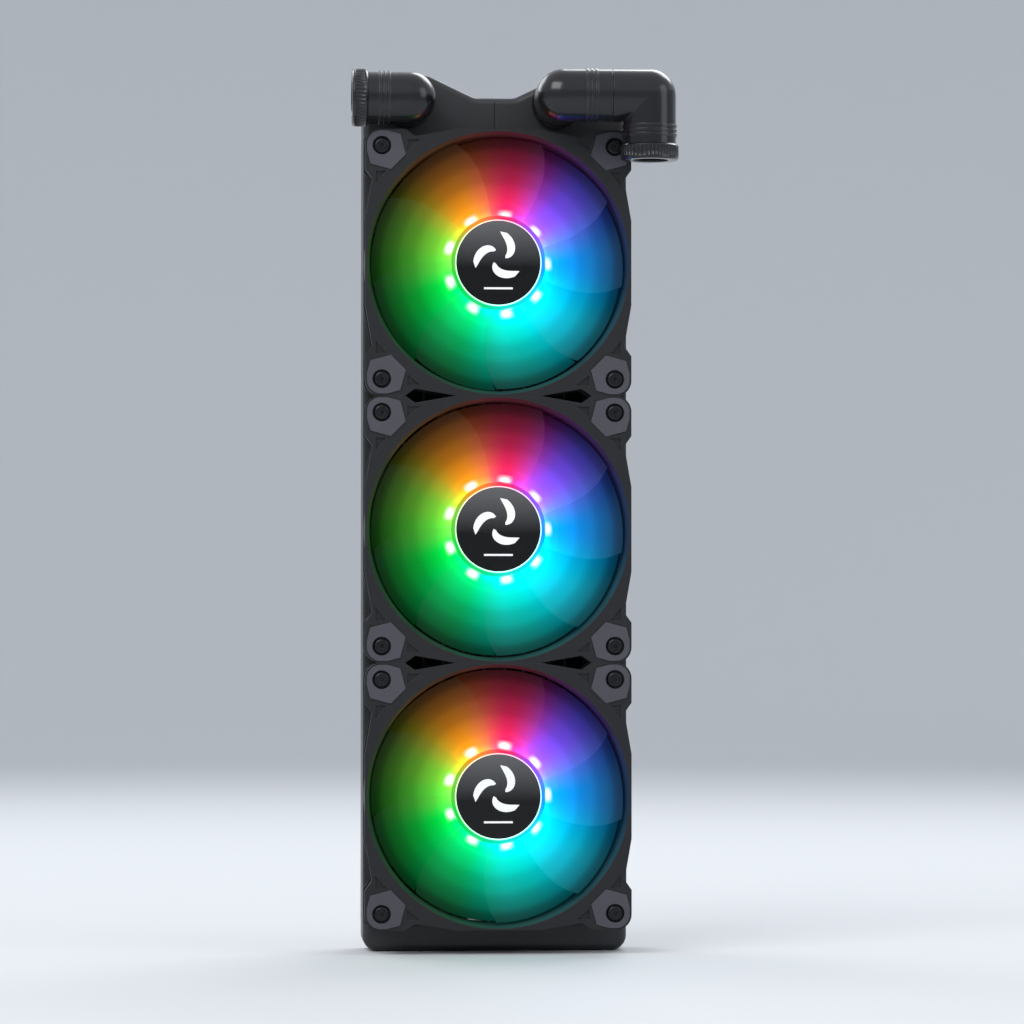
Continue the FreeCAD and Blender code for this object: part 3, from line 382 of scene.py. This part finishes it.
def folded_path():
    """The strip's middle line in (x, z): up one fold, across the crest, down the next."""
    path = []
    for fold in range(folds):
        base = fin_foot + fold * fold_pitch
        path.append((-fold_half, base))
        path.append((-fold_half, base + crest))
        path.append((fold_half, base + fold_pitch / 2))
        path.append((fold_half, base + fold_pitch / 2 + crest))
    path.append((-fold_half, fin_top))
    return path


def fin_strip(centre_x, path):
    """Points and faces of one closed strip."""
    rows = FIN_LOUVRES + 1
    points, faces = [], []
    for side in (1, -1):
        for x, z in path:
            for row in range(rows):
                lift = LOUVRE_LIFT * (1 if row % 2 else -1) / 2
                flat = abs(x) / fold_half
                y = core_low.y + (core_high.y - core_low.y) * row / FIN_LOUVRES
                points.append((centre_x + x + side * STRIP_THICK / 2 * flat, y,
                               z + lift + side * STRIP_THICK / 2))
    layer = len(path) * rows
    for step in range(len(path) - 1):
        for row in range(FIN_LOUVRES):
            corner = step * rows + row
            quad = (corner, corner + 1, corner + rows + 1, corner + rows)
            faces.append(quad)
            faces.append(tuple(layer + place for place in reversed(quad)))
        for corner, turned in ((step * rows, False), (step * rows + rows - 1, True)):
            quad = (corner, corner + rows, layer + corner + rows, layer + corner)
            faces.append(tuple(reversed(quad)) if turned else quad)
    for start, turned in ((0, True), ((len(path) - 1) * rows, False)):
        for row in range(FIN_LOUVRES):
            quad = (start + row, start + row + 1, layer + start + row + 1, layer + start + row)
            faces.append(quad if not turned else tuple(reversed(quad)))
    return points, faces


path = folded_path()
points, faces = [], []
for stack in range(TUBE_COUNT + 1):
    centre_x = (stack - TUBE_COUNT / 2) * tube_step
    more_points, more_faces = fin_strip(centre_x, path)
    first = len(points)
    points += more_points
    faces += [tuple(first + place for place in face) for face in more_faces]
fins = mesh_object("folded_fins", points, faces)
fin_paint, tree, shader = new_finish(
    "Sprayed fin black", (0.016, 0.016, 0.017), (0.05, 0.045, 0.04),
    edge=0.1 * MM, rub=0.2, grain=0.8 * MM, depth=0.02 * MM, gloss=(0.4, 0.62))
set_gloss(shader, metallic=0.3)
wear(fins, fin_paint)
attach(fins, "radiator")
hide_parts("fin_stacks")


# ---- Port bosses, bases, extension and elbows ---------------------------------------------------
# Turned and drilled brass, plated near black, with bright rims where light catches. The bosses are
# soldered to the tank, the bases and the extension screw into them, and the elbows turn on those.
plated, tree, shader = new_finish(
    "Black plating", (0.016, 0.016, 0.018), (0.16, 0.16, 0.17),
    edge=0.5 * MM, rub=0.5, grain=0.4 * MM, depth=0.008 * MM, gloss=(0.16, 0.3))
set_gloss(shader, specular=0.4, metallic=0.6, coat=0.34, coat_roughness=0.12)
for name in ("port_bosses", "left_base", "right_base", "right_extension", "left_elbow", "right_arm",
             "right_elbow"):
    wear(nodes[name], plated)


# ---- Clamp collars ------------------------------------------------------------------------------
# Hand-tightened rings with straight flutes for grip, a chamfer at each rim and a nipple that
# screws into the elbow. They hold the rigid tube, which isn't part of this object.
COLLAR_FLUTES, FLUTE_DEPTH, STEPS_PER_FLUTE = 44, 0.45 * MM, 6
FLUTE_ROUNDNESS = 0.6
TUBE_RADIUS, NIPPLE_RADIUS = 8.05 * MM, 9.9 * MM
RING_LENGTH = 7.0 * MM
RIM_CHAMFER, MOUTH_CHAMFER = 0.7 * MM, 0.5 * MM
RIM_LAND, FLUTE_RUN_IN = 1.5 * MM, 0.2 * MM
CREASE_ANGLE = math.radians(32)


def fluted_ring(name, sections, flutes, depth, to_place):
    """A closed ring round its own Z axis. Each section is (height, radius, share of the flute's depth)."""
    around = flutes * STEPS_PER_FLUTE
    points, faces = [], []
    for height, radius, share in sections:
        for step in range(around):
            angle = 2 * math.pi * step / around
            groove = abs(math.sin(angle * flutes / 2)) ** FLUTE_ROUNDNESS
            reach = radius - depth * share * (1 - groove)
            points.append(to_place @ Vector((reach * math.cos(angle), reach * math.sin(angle), height)))
    for ring in range(len(sections)):
        after = (ring + 1) % len(sections)
        for step in range(around):
            beside = (step + 1) % around
            faces.append((ring * around + step, ring * around + beside,
                          after * around + beside, after * around + step))
    made = mesh_object(name, points, faces)
    made.data.shade_smooth()
    made.data.set_sharp_from_angle(angle=CREASE_ANGLE)
    return made


def clamp_collar(name, node, body, axis):
    """The collar's mouth faces along axis, and its nipple is at the other end."""
    low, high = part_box(node)
    middle = (low + high) / 2
    length = (high - low).dot(Vector([abs(part) for part in axis]))
    across = max(high.y - low.y, min(high.x - low.x, high.z - low.z)) / 2
    mouth = length / 2
    ring_foot = mouth - RING_LENGTH
    sections = [(-mouth, TUBE_RADIUS, 0), (-mouth, NIPPLE_RADIUS, 0), (ring_foot, NIPPLE_RADIUS, 0),
                (ring_foot, across - RIM_CHAMFER, 0), (ring_foot + RIM_CHAMFER, across, 0),
                (ring_foot + RIM_LAND - FLUTE_RUN_IN, across, 0), (ring_foot + RIM_LAND, across, 1),
                (mouth - RIM_LAND - FLUTE_RUN_IN, across, 1), (mouth - RIM_LAND, across, 0),
                (mouth - RIM_CHAMFER, across, 0), (mouth, across - RIM_CHAMFER, 0),
                (mouth, TUBE_RADIUS + MOUTH_CHAMFER, 0), (mouth - MOUTH_CHAMFER, TUBE_RADIUS, 0)]
    turn = Vector((0, 0, 1)).rotation_difference(Vector(axis)).to_matrix().to_4x4()
    made = fluted_ring(name, sections, COLLAR_FLUTES, FLUTE_DEPTH, Matrix.Translation(middle) @ turn)
    wear(made, plated)
    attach(made, body)
    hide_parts(node)


clamp_collar("left_fluted_collar", "left_collar", "left_swivel", (-1, 0, 0))
clamp_collar("right_fluted_collar", "right_collar", "right_drop_swivel", (0, 0, -1))


# ---- Seals --------------------------------------------------------------------------------------
# Black rubber rings, smooth and slightly greasy. They lie in turned grooves under each fitting, round
# each swivel and round each rigid tube.
seal_rubber, tree, shader = new_finish(
    "Seal rubber", (0.011, 0.011, 0.011), (0.02, 0.02, 0.02),
    edge=0.1 * MM, rub=0.1, grain=0.5 * MM, depth=0.01 * MM, gloss=(0.35, 0.5))
for name in ("fitting_orings", "left_tube_oring", "right_tube_oring", "right_swivel_oring"):
    wear(nodes[name], seal_rubber)


# ---- Hub light ----------------------------------------------------------------------------------
# Nine coloured lamps stand in a ring round each motor and shine outwards through the milky plastic. Their
# light in the plastic is painted on as a glow: its colours run round the hub like a rainbow, white hot at
# each lamp, and fade towards the blade tips. The same painted light is put on the rim of the duct.
FANS = ("top", "middle", "bottom")
LAMP_COUNT = 9
FIRST_LAMP_DEG = 1.0
LAMP_COLOURS = (      # anticlockwise from the right, as seen from the front
    (0.0, 0.34, 1.0), (0.32, 0.08, 1.0), (1.0, 0.02, 0.13), (0.98, 0.32, 0.01), (0.2, 0.66, 0.04),
    (0.0, 0.74, 0.06), (0.0, 0.8, 0.2), (0.0, 0.84, 0.7), (0.0, 0.74, 1.0))
LAMP_RING, LAMP_SPREAD, SPOT_SHARPNESS = 22.9 * MM, 2.4 * MM, 1.9
SPOT_DEEP, SPOT_SHALLOW = 1.15, 0.75
UNEVEN_SIZE, UNEVEN_SPAN, UNEVEN_FLOOR = 9 * MM, 0.9, 0.5
LINE_HEAT, LINE_LIFT, RIM_PAINTED_SHADE = 0.4, 0.5, 0.62
BLUE_CARRY, RED_LOSS = 1.7, 0.8
LAMP_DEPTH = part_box("middle_fan_leds")[0].y
label_low, label_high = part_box("middle_fan_hub_label")
HUB_FRONT, HUB_RIM = label_high.y, 21.3 * MM
LABEL_EDGE = (label_high.x - label_low.x) / 2
EDGE_LINE = 0.5 * MM
GLOW_NEAR, GLOW_FAR = 19.0 * MM, 59.0 * MM
GLOW_FADE = (         # distance from the fan's axis in mm, and the light left there
    (21.5, 1.0), (24.0, 0.62), (28.0, 0.4), (36.0, 0.2), (44.0, 0.095), (52.0, 0.032), (57.5, 0.009))


def fill_ramp(ramp, stops):
    """Sets a colour ramp from (position, colour) pairs."""
    while len(ramp.elements) > 1:
        ramp.elements.remove(ramp.elements[-1])
    ramp.elements[0].position, ramp.elements[0].color = stops[0]
    for position, colour in stops[1:]:
        ramp.elements.new(position).color = colour


def lamp_stops():
    """The nine colours in order round the circle from its left side, with the seam's mix at both ends."""
    stops = []
    for lamp, colour in enumerate(LAMP_COLOURS):
        turn = (FIRST_LAMP_DEG + lamp * 360 / LAMP_COUNT) / 360 + 0.5
        stops.append((turn % 1.0, (*colour, 1)))
    stops.sort()
    before, after = stops[-1], stops[0]
    share = (1 - before[0]) / (1 - before[0] + after[0])
    seam = tuple(first + (second - first) * share for first, second in zip(before[1], after[1]))
    return [(0.0, seam)] + stops + [(1.0, seam)]


def make_glow_group():
    tree, entry, result = new_group("Hub light", [("Centre height", "Float", 0.0)],
                                    [("Colour", "Color"), ("Light", "Color"), ("Radius", "Float")])
    # measured from a frame, so that the colours stay where the lamps are while a rotor turns
    place = new_node(tree, "TexCoord", object=nodes["middle_fan_frame"])
    axes = new_node(tree, "SeparateXYZ")
    tree.links.new(place.outputs["Object"], axes.inputs[0])
    across = axes.outputs["X"]
    up = calculate(tree, "SUBTRACT", axes.outputs["Z"], entry.outputs["Centre height"])
    squares = calculate(tree, "ADD", calculate(tree, "MULTIPLY", across, across),
                        calculate(tree, "MULTIPLY", up, up))
    radius = calculate(tree, "SQRT", squares)
    angle = calculate(tree, "ARCTAN2", up, across)
    turn = calculate(tree, "ADD", calculate(tree, "DIVIDE", angle, 2 * math.pi), 0.5)
    hue = new_node(tree, "ValToRGB")
    hue.color_ramp.interpolation = "EASE"
    fill_ramp(hue.color_ramp, lamp_stops())
    tree.links.new(turn, hue.inputs[0])
    # the fade from the hub to the tips
    span = new_node(tree, "MapRange")
    for label, value in (("From Min", GLOW_NEAR), ("From Max", GLOW_FAR)):
        span.inputs[label].default_value = value
    tree.links.new(radius, span.inputs["Value"])
    fade = new_node(tree, "ValToRGB")
    fade.color_ramp.interpolation = "CARDINAL"
    width = GLOW_FAR - GLOW_NEAR
    fill_ramp(fade.color_ramp, [((mm * MM - GLOW_NEAR) / width, (level, level, level, 1))
                                for mm, level in GLOW_FADE])
    tree.links.new(span.outputs[0], fade.inputs[0])
    # painted highlights: a thin pale line round the disc, and a white spot at each lamp, strongest near
    # its depth
    first = math.radians(FIRST_LAMP_DEG)
    beat = calculate(tree, "COSINE", calculate(tree, "MULTIPLY", calculate(tree, "SUBTRACT", angle, first),
                                               float(LAMP_COUNT)))
    peak = calculate(tree, "POWER", calculate(tree, "MAXIMUM", beat, 0.0), SPOT_SHARPNESS)
    off = calculate(tree, "ABSOLUTE", calculate(tree, "SUBTRACT", radius, LAMP_RING))
    near = calculate(tree, "MAXIMUM", calculate(tree, "SUBTRACT", 1.0, calculate(
        tree, "DIVIDE", off, LAMP_SPREAD)), 0.0)
    depth = new_node(tree, "MapRange")
    for label, value in (("From Min", LAMP_DEPTH), ("From Max", HUB_FRONT), ("To Min", SPOT_DEEP),
                         ("To Max", SPOT_SHALLOW)):
        depth.inputs[label].default_value = value
    tree.links.new(axes.outputs["Y"], depth.inputs["Value"])
    patches = object_noise(tree, UNEVEN_SIZE, 1.0)
    uneven = calculate(tree, "ADD", calculate(tree, "MULTIPLY", patches, UNEVEN_SPAN), UNEVEN_FLOOR)
    even_spot = calculate(tree, "MULTIPLY", calculate(tree, "MULTIPLY", near, peak), depth.outputs[0])
    spot = calculate(tree, "MULTIPLY", even_spot, uneven)
    # painted shade: the glow is dimmed on the hub's rim and lifted on a thin line at the label's edge
    rim = calculate(tree, "LESS_THAN", radius, HUB_RIM)
    line = calculate(tree, "LESS_THAN", radius, LABEL_EDGE + EDGE_LINE)
    line_heat = calculate(tree, "MULTIPLY", line, LINE_HEAT)
    heat = calculate(tree, "MINIMUM", calculate(tree, "ADD", line_heat, spot), 1.0)
    hot = blend_colours(tree, heat, hue.outputs[0], (1, 1, 1, 1))
    # the painted glow's blue reaches further out through the plastic than its red and green
    parts = new_node(tree, "SeparateColor")
    tree.links.new(hue.outputs[0], parts.inputs[0])
    blue_out = calculate(tree, "MULTIPLY", parts.outputs["Blue"], span.outputs[0])
    carry = calculate(tree, "MULTIPLY", blue_out, BLUE_CARRY)
    shade = calculate(tree, "ADD", calculate(tree, "MULTIPLY", rim, -RIM_PAINTED_SHADE),
                      calculate(tree, "ADD", calculate(tree, "MULTIPLY", line, LINE_LIFT), 1.0))
    reach = calculate(tree, "MULTIPLY", fade.outputs[0], calculate(tree, "ADD", carry, 1.0))
    strength = calculate(tree, "MULTIPLY", reach, shade)
    # and red dies away first where it is mixed with blue
    hot_parts = new_node(tree, "SeparateColor")
    tree.links.new(hot, hot_parts.inputs[0])
    dying = calculate(tree, "MULTIPLY", blue_out, RED_LOSS)
    red = calculate(tree, "MULTIPLY", hot_parts.outputs["Red"], calculate(tree, "SUBTRACT", 1.0, dying))
    rejoined = new_node(tree, "CombineColor")
    tree.links.new(red, rejoined.inputs["Red"])
    for channel in ("Green", "Blue"):
        tree.links.new(hot_parts.outputs[channel], rejoined.inputs[channel])
    lit = new_node(tree, "VectorMath", operation="SCALE")
    tree.links.new(rejoined.outputs[0], lit.inputs[0])
    tree.links.new(strength, lit.inputs["Scale"])
    tree.links.new(hue.outputs[0], result.inputs["Colour"])
    tree.links.new(lit.outputs[0], result.inputs["Light"])
    tree.links.new(radius, result.inputs["Radius"])
    return tree


HUB_LIGHT = make_glow_group()


def fan_centre_height(fan):
    low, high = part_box(f"{fan}_fan_frame")
    return (low.z + high.z) / 2


# ---- Fan frames ---------------------------------------------------------------------------------
# One black ABS moulding each, with a fine spark-eroded texture. The little of the hub's light that the
# flared mouth of the duct catches is painted on it as a faint glow.
DUCT_GLOW_START, DUCT_GLOW_PEAK, DUCT_GLOW_END = 57.4 * MM, 58.6 * MM, 59.6 * MM
DUCT_GLOW_STRENGTH = 0.05


def frame_moulding_with_painted_glow(fan):
    material, tree, shader = new_finish(
        f"Textured black moulding {fan}", (0.011, 0.011, 0.0125), (0.045, 0.045, 0.05),
        edge=0.4 * MM, rub=0.5, grain=0.35 * MM, depth=0.03 * MM, gloss=(0.42, 0.58))
    set_gloss(shader, specular=0.32)
    light = place_group(tree, HUB_LIGHT, Centre_height=fan_centre_height(fan))
    radius = light.outputs["Radius"]
    # painted glow: a thin band on the duct's flared mouth gives off the hub light's colour
    rise = calculate(tree, "DIVIDE", calculate(tree, "SUBTRACT", radius, DUCT_GLOW_START),
                     DUCT_GLOW_PEAK - DUCT_GLOW_START)
    drop = calculate(tree, "DIVIDE", calculate(tree, "SUBTRACT", DUCT_GLOW_END, radius),
                     DUCT_GLOW_END - DUCT_GLOW_PEAK)
    ridge = calculate(tree, "MINIMUM", calculate(tree, "MINIMUM", rise, drop), 1.0)
    band = calculate(tree, "MAXIMUM", ridge, 0.0)
    painted_duct_glow = blend_colours(tree, band, (0, 0, 0, 1), light.outputs["Colour"])
    tree.links.new(painted_duct_glow, shader.inputs["Emission Color"])
    shader.inputs["Emission Strength"].default_value = DUCT_GLOW_STRENGTH
    return material


for fan in FANS:
    wear(nodes[f"{fan}_fan_frame"], frame_moulding_with_painted_glow(fan))


# ---- Corner pads --------------------------------------------------------------------------------
# Soft grey rubber pushed into seats in the frame's eight corners, four in front and four behind,
# to keep vibration out of the screws.
pad_rubber, tree, shader = new_finish(
    "Grey pad rubber", (0.055, 0.054, 0.066), (0.09, 0.09, 0.105),
    edge=0.5 * MM, rub=0.4, grain=0.6 * MM, depth=0.05 * MM, gloss=(0.62, 0.8))
set_gloss(shader, specular=0.35)
for fan in FANS:
    wear(nodes[f"{fan}_fan_pads"], pad_rubber)


# ---- Fan screws ---------------------------------------------------------------------------------
# M3 steel with button heads and a hexagon socket, black zinc plated. They go through the pads and
# the frame into the side rails.
black_zinc, tree, shader = new_finish(
    "Black zinc", (0.02, 0.02, 0.022), (0.2, 0.2, 0.21),
    edge=0.2 * MM, rub=0.6, grain=0.3 * MM, depth=0.01 * MM, gloss=(0.24, 0.4))
set_gloss(shader, metallic=0.9)
wear(nodes["fan_screws"], black_zinc)


# ---- Rotors -------------------------------------------------------------------------------------
# Hub and nine blades in one smoked, milky moulding that spreads the lamps' light, which is painted on it
# as a glow. The hub is pressed over the steel yoke and turns with it.
SMOKE, PAINTED_GLOW_IN_BASE, BLADE_LIGHT = (0.004, 0.0045, 0.005, 1), 0.12, 2.4


def rotor_plastic_with_painted_glow(fan):
    material, tree, shader = new_material(f"Milky blade plastic with painted glow {fan}")
    light = place_group(tree, HUB_LIGHT, Centre_height=fan_centre_height(fan))
    edges = place_group(tree, EASED_EDGES, Radius=0.3 * MM, Rub=0.0)
    skin = place_group(tree, SKIN, Grain_size=2 * MM, Gloss_low=0.4, Gloss_high=0.55)
    # painted glow: the hub light is given off by the plastic, and a little of it is mixed into the base
    # colour
    glow_painted_base = blend_colours(tree, PAINTED_GLOW_IN_BASE, SMOKE, light.outputs["Light"])
    tree.links.new(glow_painted_base, shader.inputs["Base Color"])
    tree.links.new(skin.outputs["Roughness"], shader.inputs["Roughness"])
    tree.links.new(edges.outputs["Normal"], shader.inputs["Normal"])
    tree.links.new(light.outputs["Light"], shader.inputs["Emission Color"])
    shader.inputs["Emission Strength"].default_value = BLADE_LIGHT
    set_gloss(shader, specular=0.06)
    return material


for fan in FANS:
    wear(nodes[f"{fan}_fan_rotor"], rotor_plastic_with_painted_glow(fan))


# ---- Hub labels ---------------------------------------------------------------------------------
# A dark lacquered disc on each hub, with painted light and shade running from graphite at the top to black
# below, and a plain printed swirl of three vanes above a short bar in white ink with a faint painted glow.
# The print stands a hair proud of the lacquer.
PRINT_THICK = 0.04 * MM
SWIRL_RISE = 2.6 * MM
BAR_DROP, BAR_HALF, BAR_HEIGHT = 12.0 * MM, 6.5 * MM, 0.9 * MM
VANE_INNER, VANE_OUTER = 3.2 * MM, 11.5 * MM
VANE_SWEEP = math.radians(78)
VANE_HALF_ANGLE = math.radians(24)
VANE_COUNT, VANE_STEPS = 3, 20
VANE_ROUND_FROM, VANE_ROUND_SPAN, VANE_ROUNDNESS = 0.12, 0.8, 0.8
DISC_PAINTED_SHADE, DISC_PAINTED_HIGHLIGHT, SHADE_DROP = (0.003, 0.003, 0.0035, 1), (0.13, 0.13, 0.135, 1), 2 * MM
INK_PAINTED_GLOW = 0.12


def label_lacquer_with_painted_light(fan):
    """Painted light and shade: black below and graphite above, with the change starting just under the
    disc's centre.
    """
    material, tree, shader = new_material(f"Black lacquer with painted top light {fan}")
    add_skin(tree, shader, edge=0.2 * MM, rub=0.3, grain=0.4 * MM, depth=0.004 * MM, gloss=(0.2, 0.3))
    place = new_node(tree, "TexCoord")
    axes = new_node(tree, "SeparateXYZ")
    tree.links.new(place.outputs["Object"], axes.inputs[0])
    # painted highlight towards the top and painted shade below, set by height
    shade = new_node(tree, "MapRange")
    shade.inputs["From Min"].default_value = fan_centre_height(fan) - SHADE_DROP
    shade.inputs["From Max"].default_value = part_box(f"{fan}_fan_hub_label")[1].z
    tree.links.new(axes.outputs["Z"], shade.inputs["Value"])
    painted_light_grade = blend_colours(tree, shade.outputs[0], DISC_PAINTED_SHADE, DISC_PAINTED_HIGHLIGHT)
    tree.links.new(painted_light_grade, shader.inputs["Base Color"])
    set_gloss(shader, specular=0.25, coat=0.12, coat_roughness=0.1)
    return material


def slab(points_2d, faces_2d, centre, front_y):
    """A thin closed print: a flat figure in X and Z, with its back at the disc's face."""
    count = len(points_2d)
    points = [(centre.x + x, front_y - lift, centre.z + z)
              for lift in (PRINT_THICK, 0.0) for x, z in points_2d]
    faces = [tuple(face) for face in faces_2d] + [tuple(count + place for place in reversed(face))
                                                  for face in faces_2d]
    edges = {}
    for face in faces_2d:
        for first, second in zip(face, face[1:] + face[:1]):
            edges[(first, second)] = edges.get((first, second), 0) + 1
    for first, second in edges:
        if (second, first) not in edges:
            faces.append((second, first, count + first, count + second))
    return points, faces


def bar_figure():
    """A short flat bar under the swirl."""
    points = [(side * BAR_HALF, edge - BAR_DROP) for edge in (0.0, BAR_HEIGHT) for side in (-1, 1)]
    return points, [[0, 1, 3, 2]]


def vane_figure(start):
    """One curved vane, widest near its outer end."""
    points = []
    for step in range(VANE_STEPS + 1):
        share = step / VANE_STEPS
        reach = VANE_INNER + (VANE_OUTER - VANE_INNER) * share
        middle = start + VANE_SWEEP * share
        rounded = math.sin(math.pi * (VANE_ROUND_FROM + VANE_ROUND_SPAN * share)) ** VANE_ROUNDNESS
        half = VANE_HALF_ANGLE * rounded
        for side in (-1, 1):
            points.append((reach * math.cos(middle + side * half),
                           SWIRL_RISE + reach * math.sin(middle + side * half)))
    faces = [[2 * step, 2 * step + 2, 2 * step + 3, 2 * step + 1] for step in range(VANE_STEPS)]
    return points, faces


white_ink, tree, shader = new_finish(
    "White ink", (0.8, 0.8, 0.8), (0.7, 0.7, 0.7),
    edge=0.05 * MM, rub=0.1, grain=0.3 * MM, depth=0.004 * MM, gloss=(0.35, 0.5))
# painted glow: the white ink gives off a little light of its own
shader.inputs["Emission Color"].default_value = (1, 1, 1, 1)
shader.inputs["Emission Strength"].default_value = INK_PAINTED_GLOW
for fan in FANS:
    disc = nodes[f"{fan}_fan_hub_label"]
    wear(disc, label_lacquer_with_painted_light(fan))
    low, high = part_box(f"{fan}_fan_hub_label")
    centre = (low + high) / 2
    points, faces = [], []
    figures = [bar_figure()]
    figures += [vane_figure(2 * math.pi * vane / VANE_COUNT) for vane in range(VANE_COUNT)]
    for figure_points, figure_faces in figures:
        more_points, more_faces = slab(figure_points, figure_faces, centre, low.y)
        first = len(points)
        points += more_points
        faces += [tuple(first + place for place in face) for face in more_faces]
    ink = mesh_object(f"{fan}_fan_hub_print", points, faces)
    wear(ink, white_ink)
    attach(ink, f"{fan}_rotor")


# ---- Motor parts --------------------------------------------------------------------------------
# Ground steel yoke and shaft, grey ferrite magnet, brass sleeve, laminated core and copper coils.
# The yoke, magnet and shaft turn with the hub, and the rest is pressed over the frame's middle tube.
SHEET_PITCH, WIRE_PITCH = 0.5 * MM, 0.35 * MM
ground_steel, tree, shader = new_finish(
    "Ground steel", (0.5, 0.5, 0.52), (0.7, 0.7, 0.72),
    edge=0.2 * MM, rub=0.4, grain=0.2 * MM, depth=0.006 * MM, gloss=(0.2, 0.34))
set_gloss(shader, metallic=1.0)
ferrite, tree, shader = new_finish(
    "Ferrite", (0.04, 0.04, 0.045), (0.1, 0.1, 0.1),
    edge=0.2 * MM, rub=0.4, grain=0.3 * MM, depth=0.02 * MM, gloss=(0.55, 0.7))


def banded_finish(name, colour, dark, pitch, depth, gloss):
    """Metal in thin parallel layers or turns stacked along the fan's axis."""
    material, tree, shader = new_material(name)
    skin = place_group(tree, SKIN, Grain_size=0.3 * MM, Gloss_low=gloss[0], Gloss_high=gloss[1])
    tree.links.new(skin.outputs["Roughness"], shader.inputs["Roughness"])
    place = new_node(tree, "TexCoord")
    axes = new_node(tree, "SeparateXYZ")
    tree.links.new(place.outputs["Object"], axes.inputs[0])
    wave = calculate(tree, "SINE", calculate(tree, "MULTIPLY", axes.outputs["Y"], 2 * math.pi / pitch))
    level = calculate(tree, "ADD", calculate(tree, "MULTIPLY", wave, 0.5), 0.5)
    tree.links.new(blend_colours(tree, level, (*dark, 1), (*colour, 1)), shader.inputs["Base Color"])
    add_relief(tree, shader, level, depth)
    set_gloss(shader, metallic=1.0)
    return material


laminations = banded_finish("Stacked core sheets", (0.5, 0.5, 0.52), (0.2, 0.2, 0.21), SHEET_PITCH,
                            0.05 * MM, (0.3, 0.45))
windings = banded_finish("Copper windings", (0.72, 0.27, 0.09), (0.3, 0.08, 0.02), WIRE_PITCH,
                         0.12 * MM, (0.25, 0.4))
MOTOR_FINISHES = {"rotor_yoke": ground_steel, "rotor_shaft": ground_steel, "rotor_magnet": ferrite,
                  "bearing_sleeve": bare_brass, "stator_core": laminations, "stator_coils": windings}
for fan in FANS:
    for part, finish in MOTOR_FINISHES.items():
        wear(nodes[f"{fan}_fan_{part}"], finish)


# ---- Lamp boards and lamps ----------------------------------------------------------------------
# A ring-shaped white circuit board sits in the motor base and carries nine lamps, which shine
# forwards and outwards past the hub.
LENS_PALENESS, LENS_LIGHT, LENS_ROUGHNESS = 0.45, 6.0, 0.2
board_white, tree, shader = new_finish(
    "White solder mask", (0.62, 0.64, 0.63), (0.7, 0.7, 0.7),
    edge=0.2 * MM, rub=0.2, grain=0.6 * MM, depth=0.01 * MM, gloss=(0.3, 0.42))


def lamp_finish(fan):
    material, tree, shader = new_material(f"Lit lamp lens {fan}")
    light = place_group(tree, HUB_LIGHT, Centre_height=fan_centre_height(fan))
    pale = blend_colours(tree, LENS_PALENESS, light.outputs["Colour"], (1, 1, 1, 1))
    tree.links.new(pale, shader.inputs["Emission Color"])
    tree.links.new(pale, shader.inputs["Base Color"])
    shader.inputs["Emission Strength"].default_value = LENS_LIGHT
    shader.inputs["Roughness"].default_value = LENS_ROUGHNESS
    return material


for fan in FANS:
    wear(nodes[f"{fan}_fan_led_board"], board_white)
    wear(nodes[f"{fan}_fan_leds"], lamp_finish(fan))
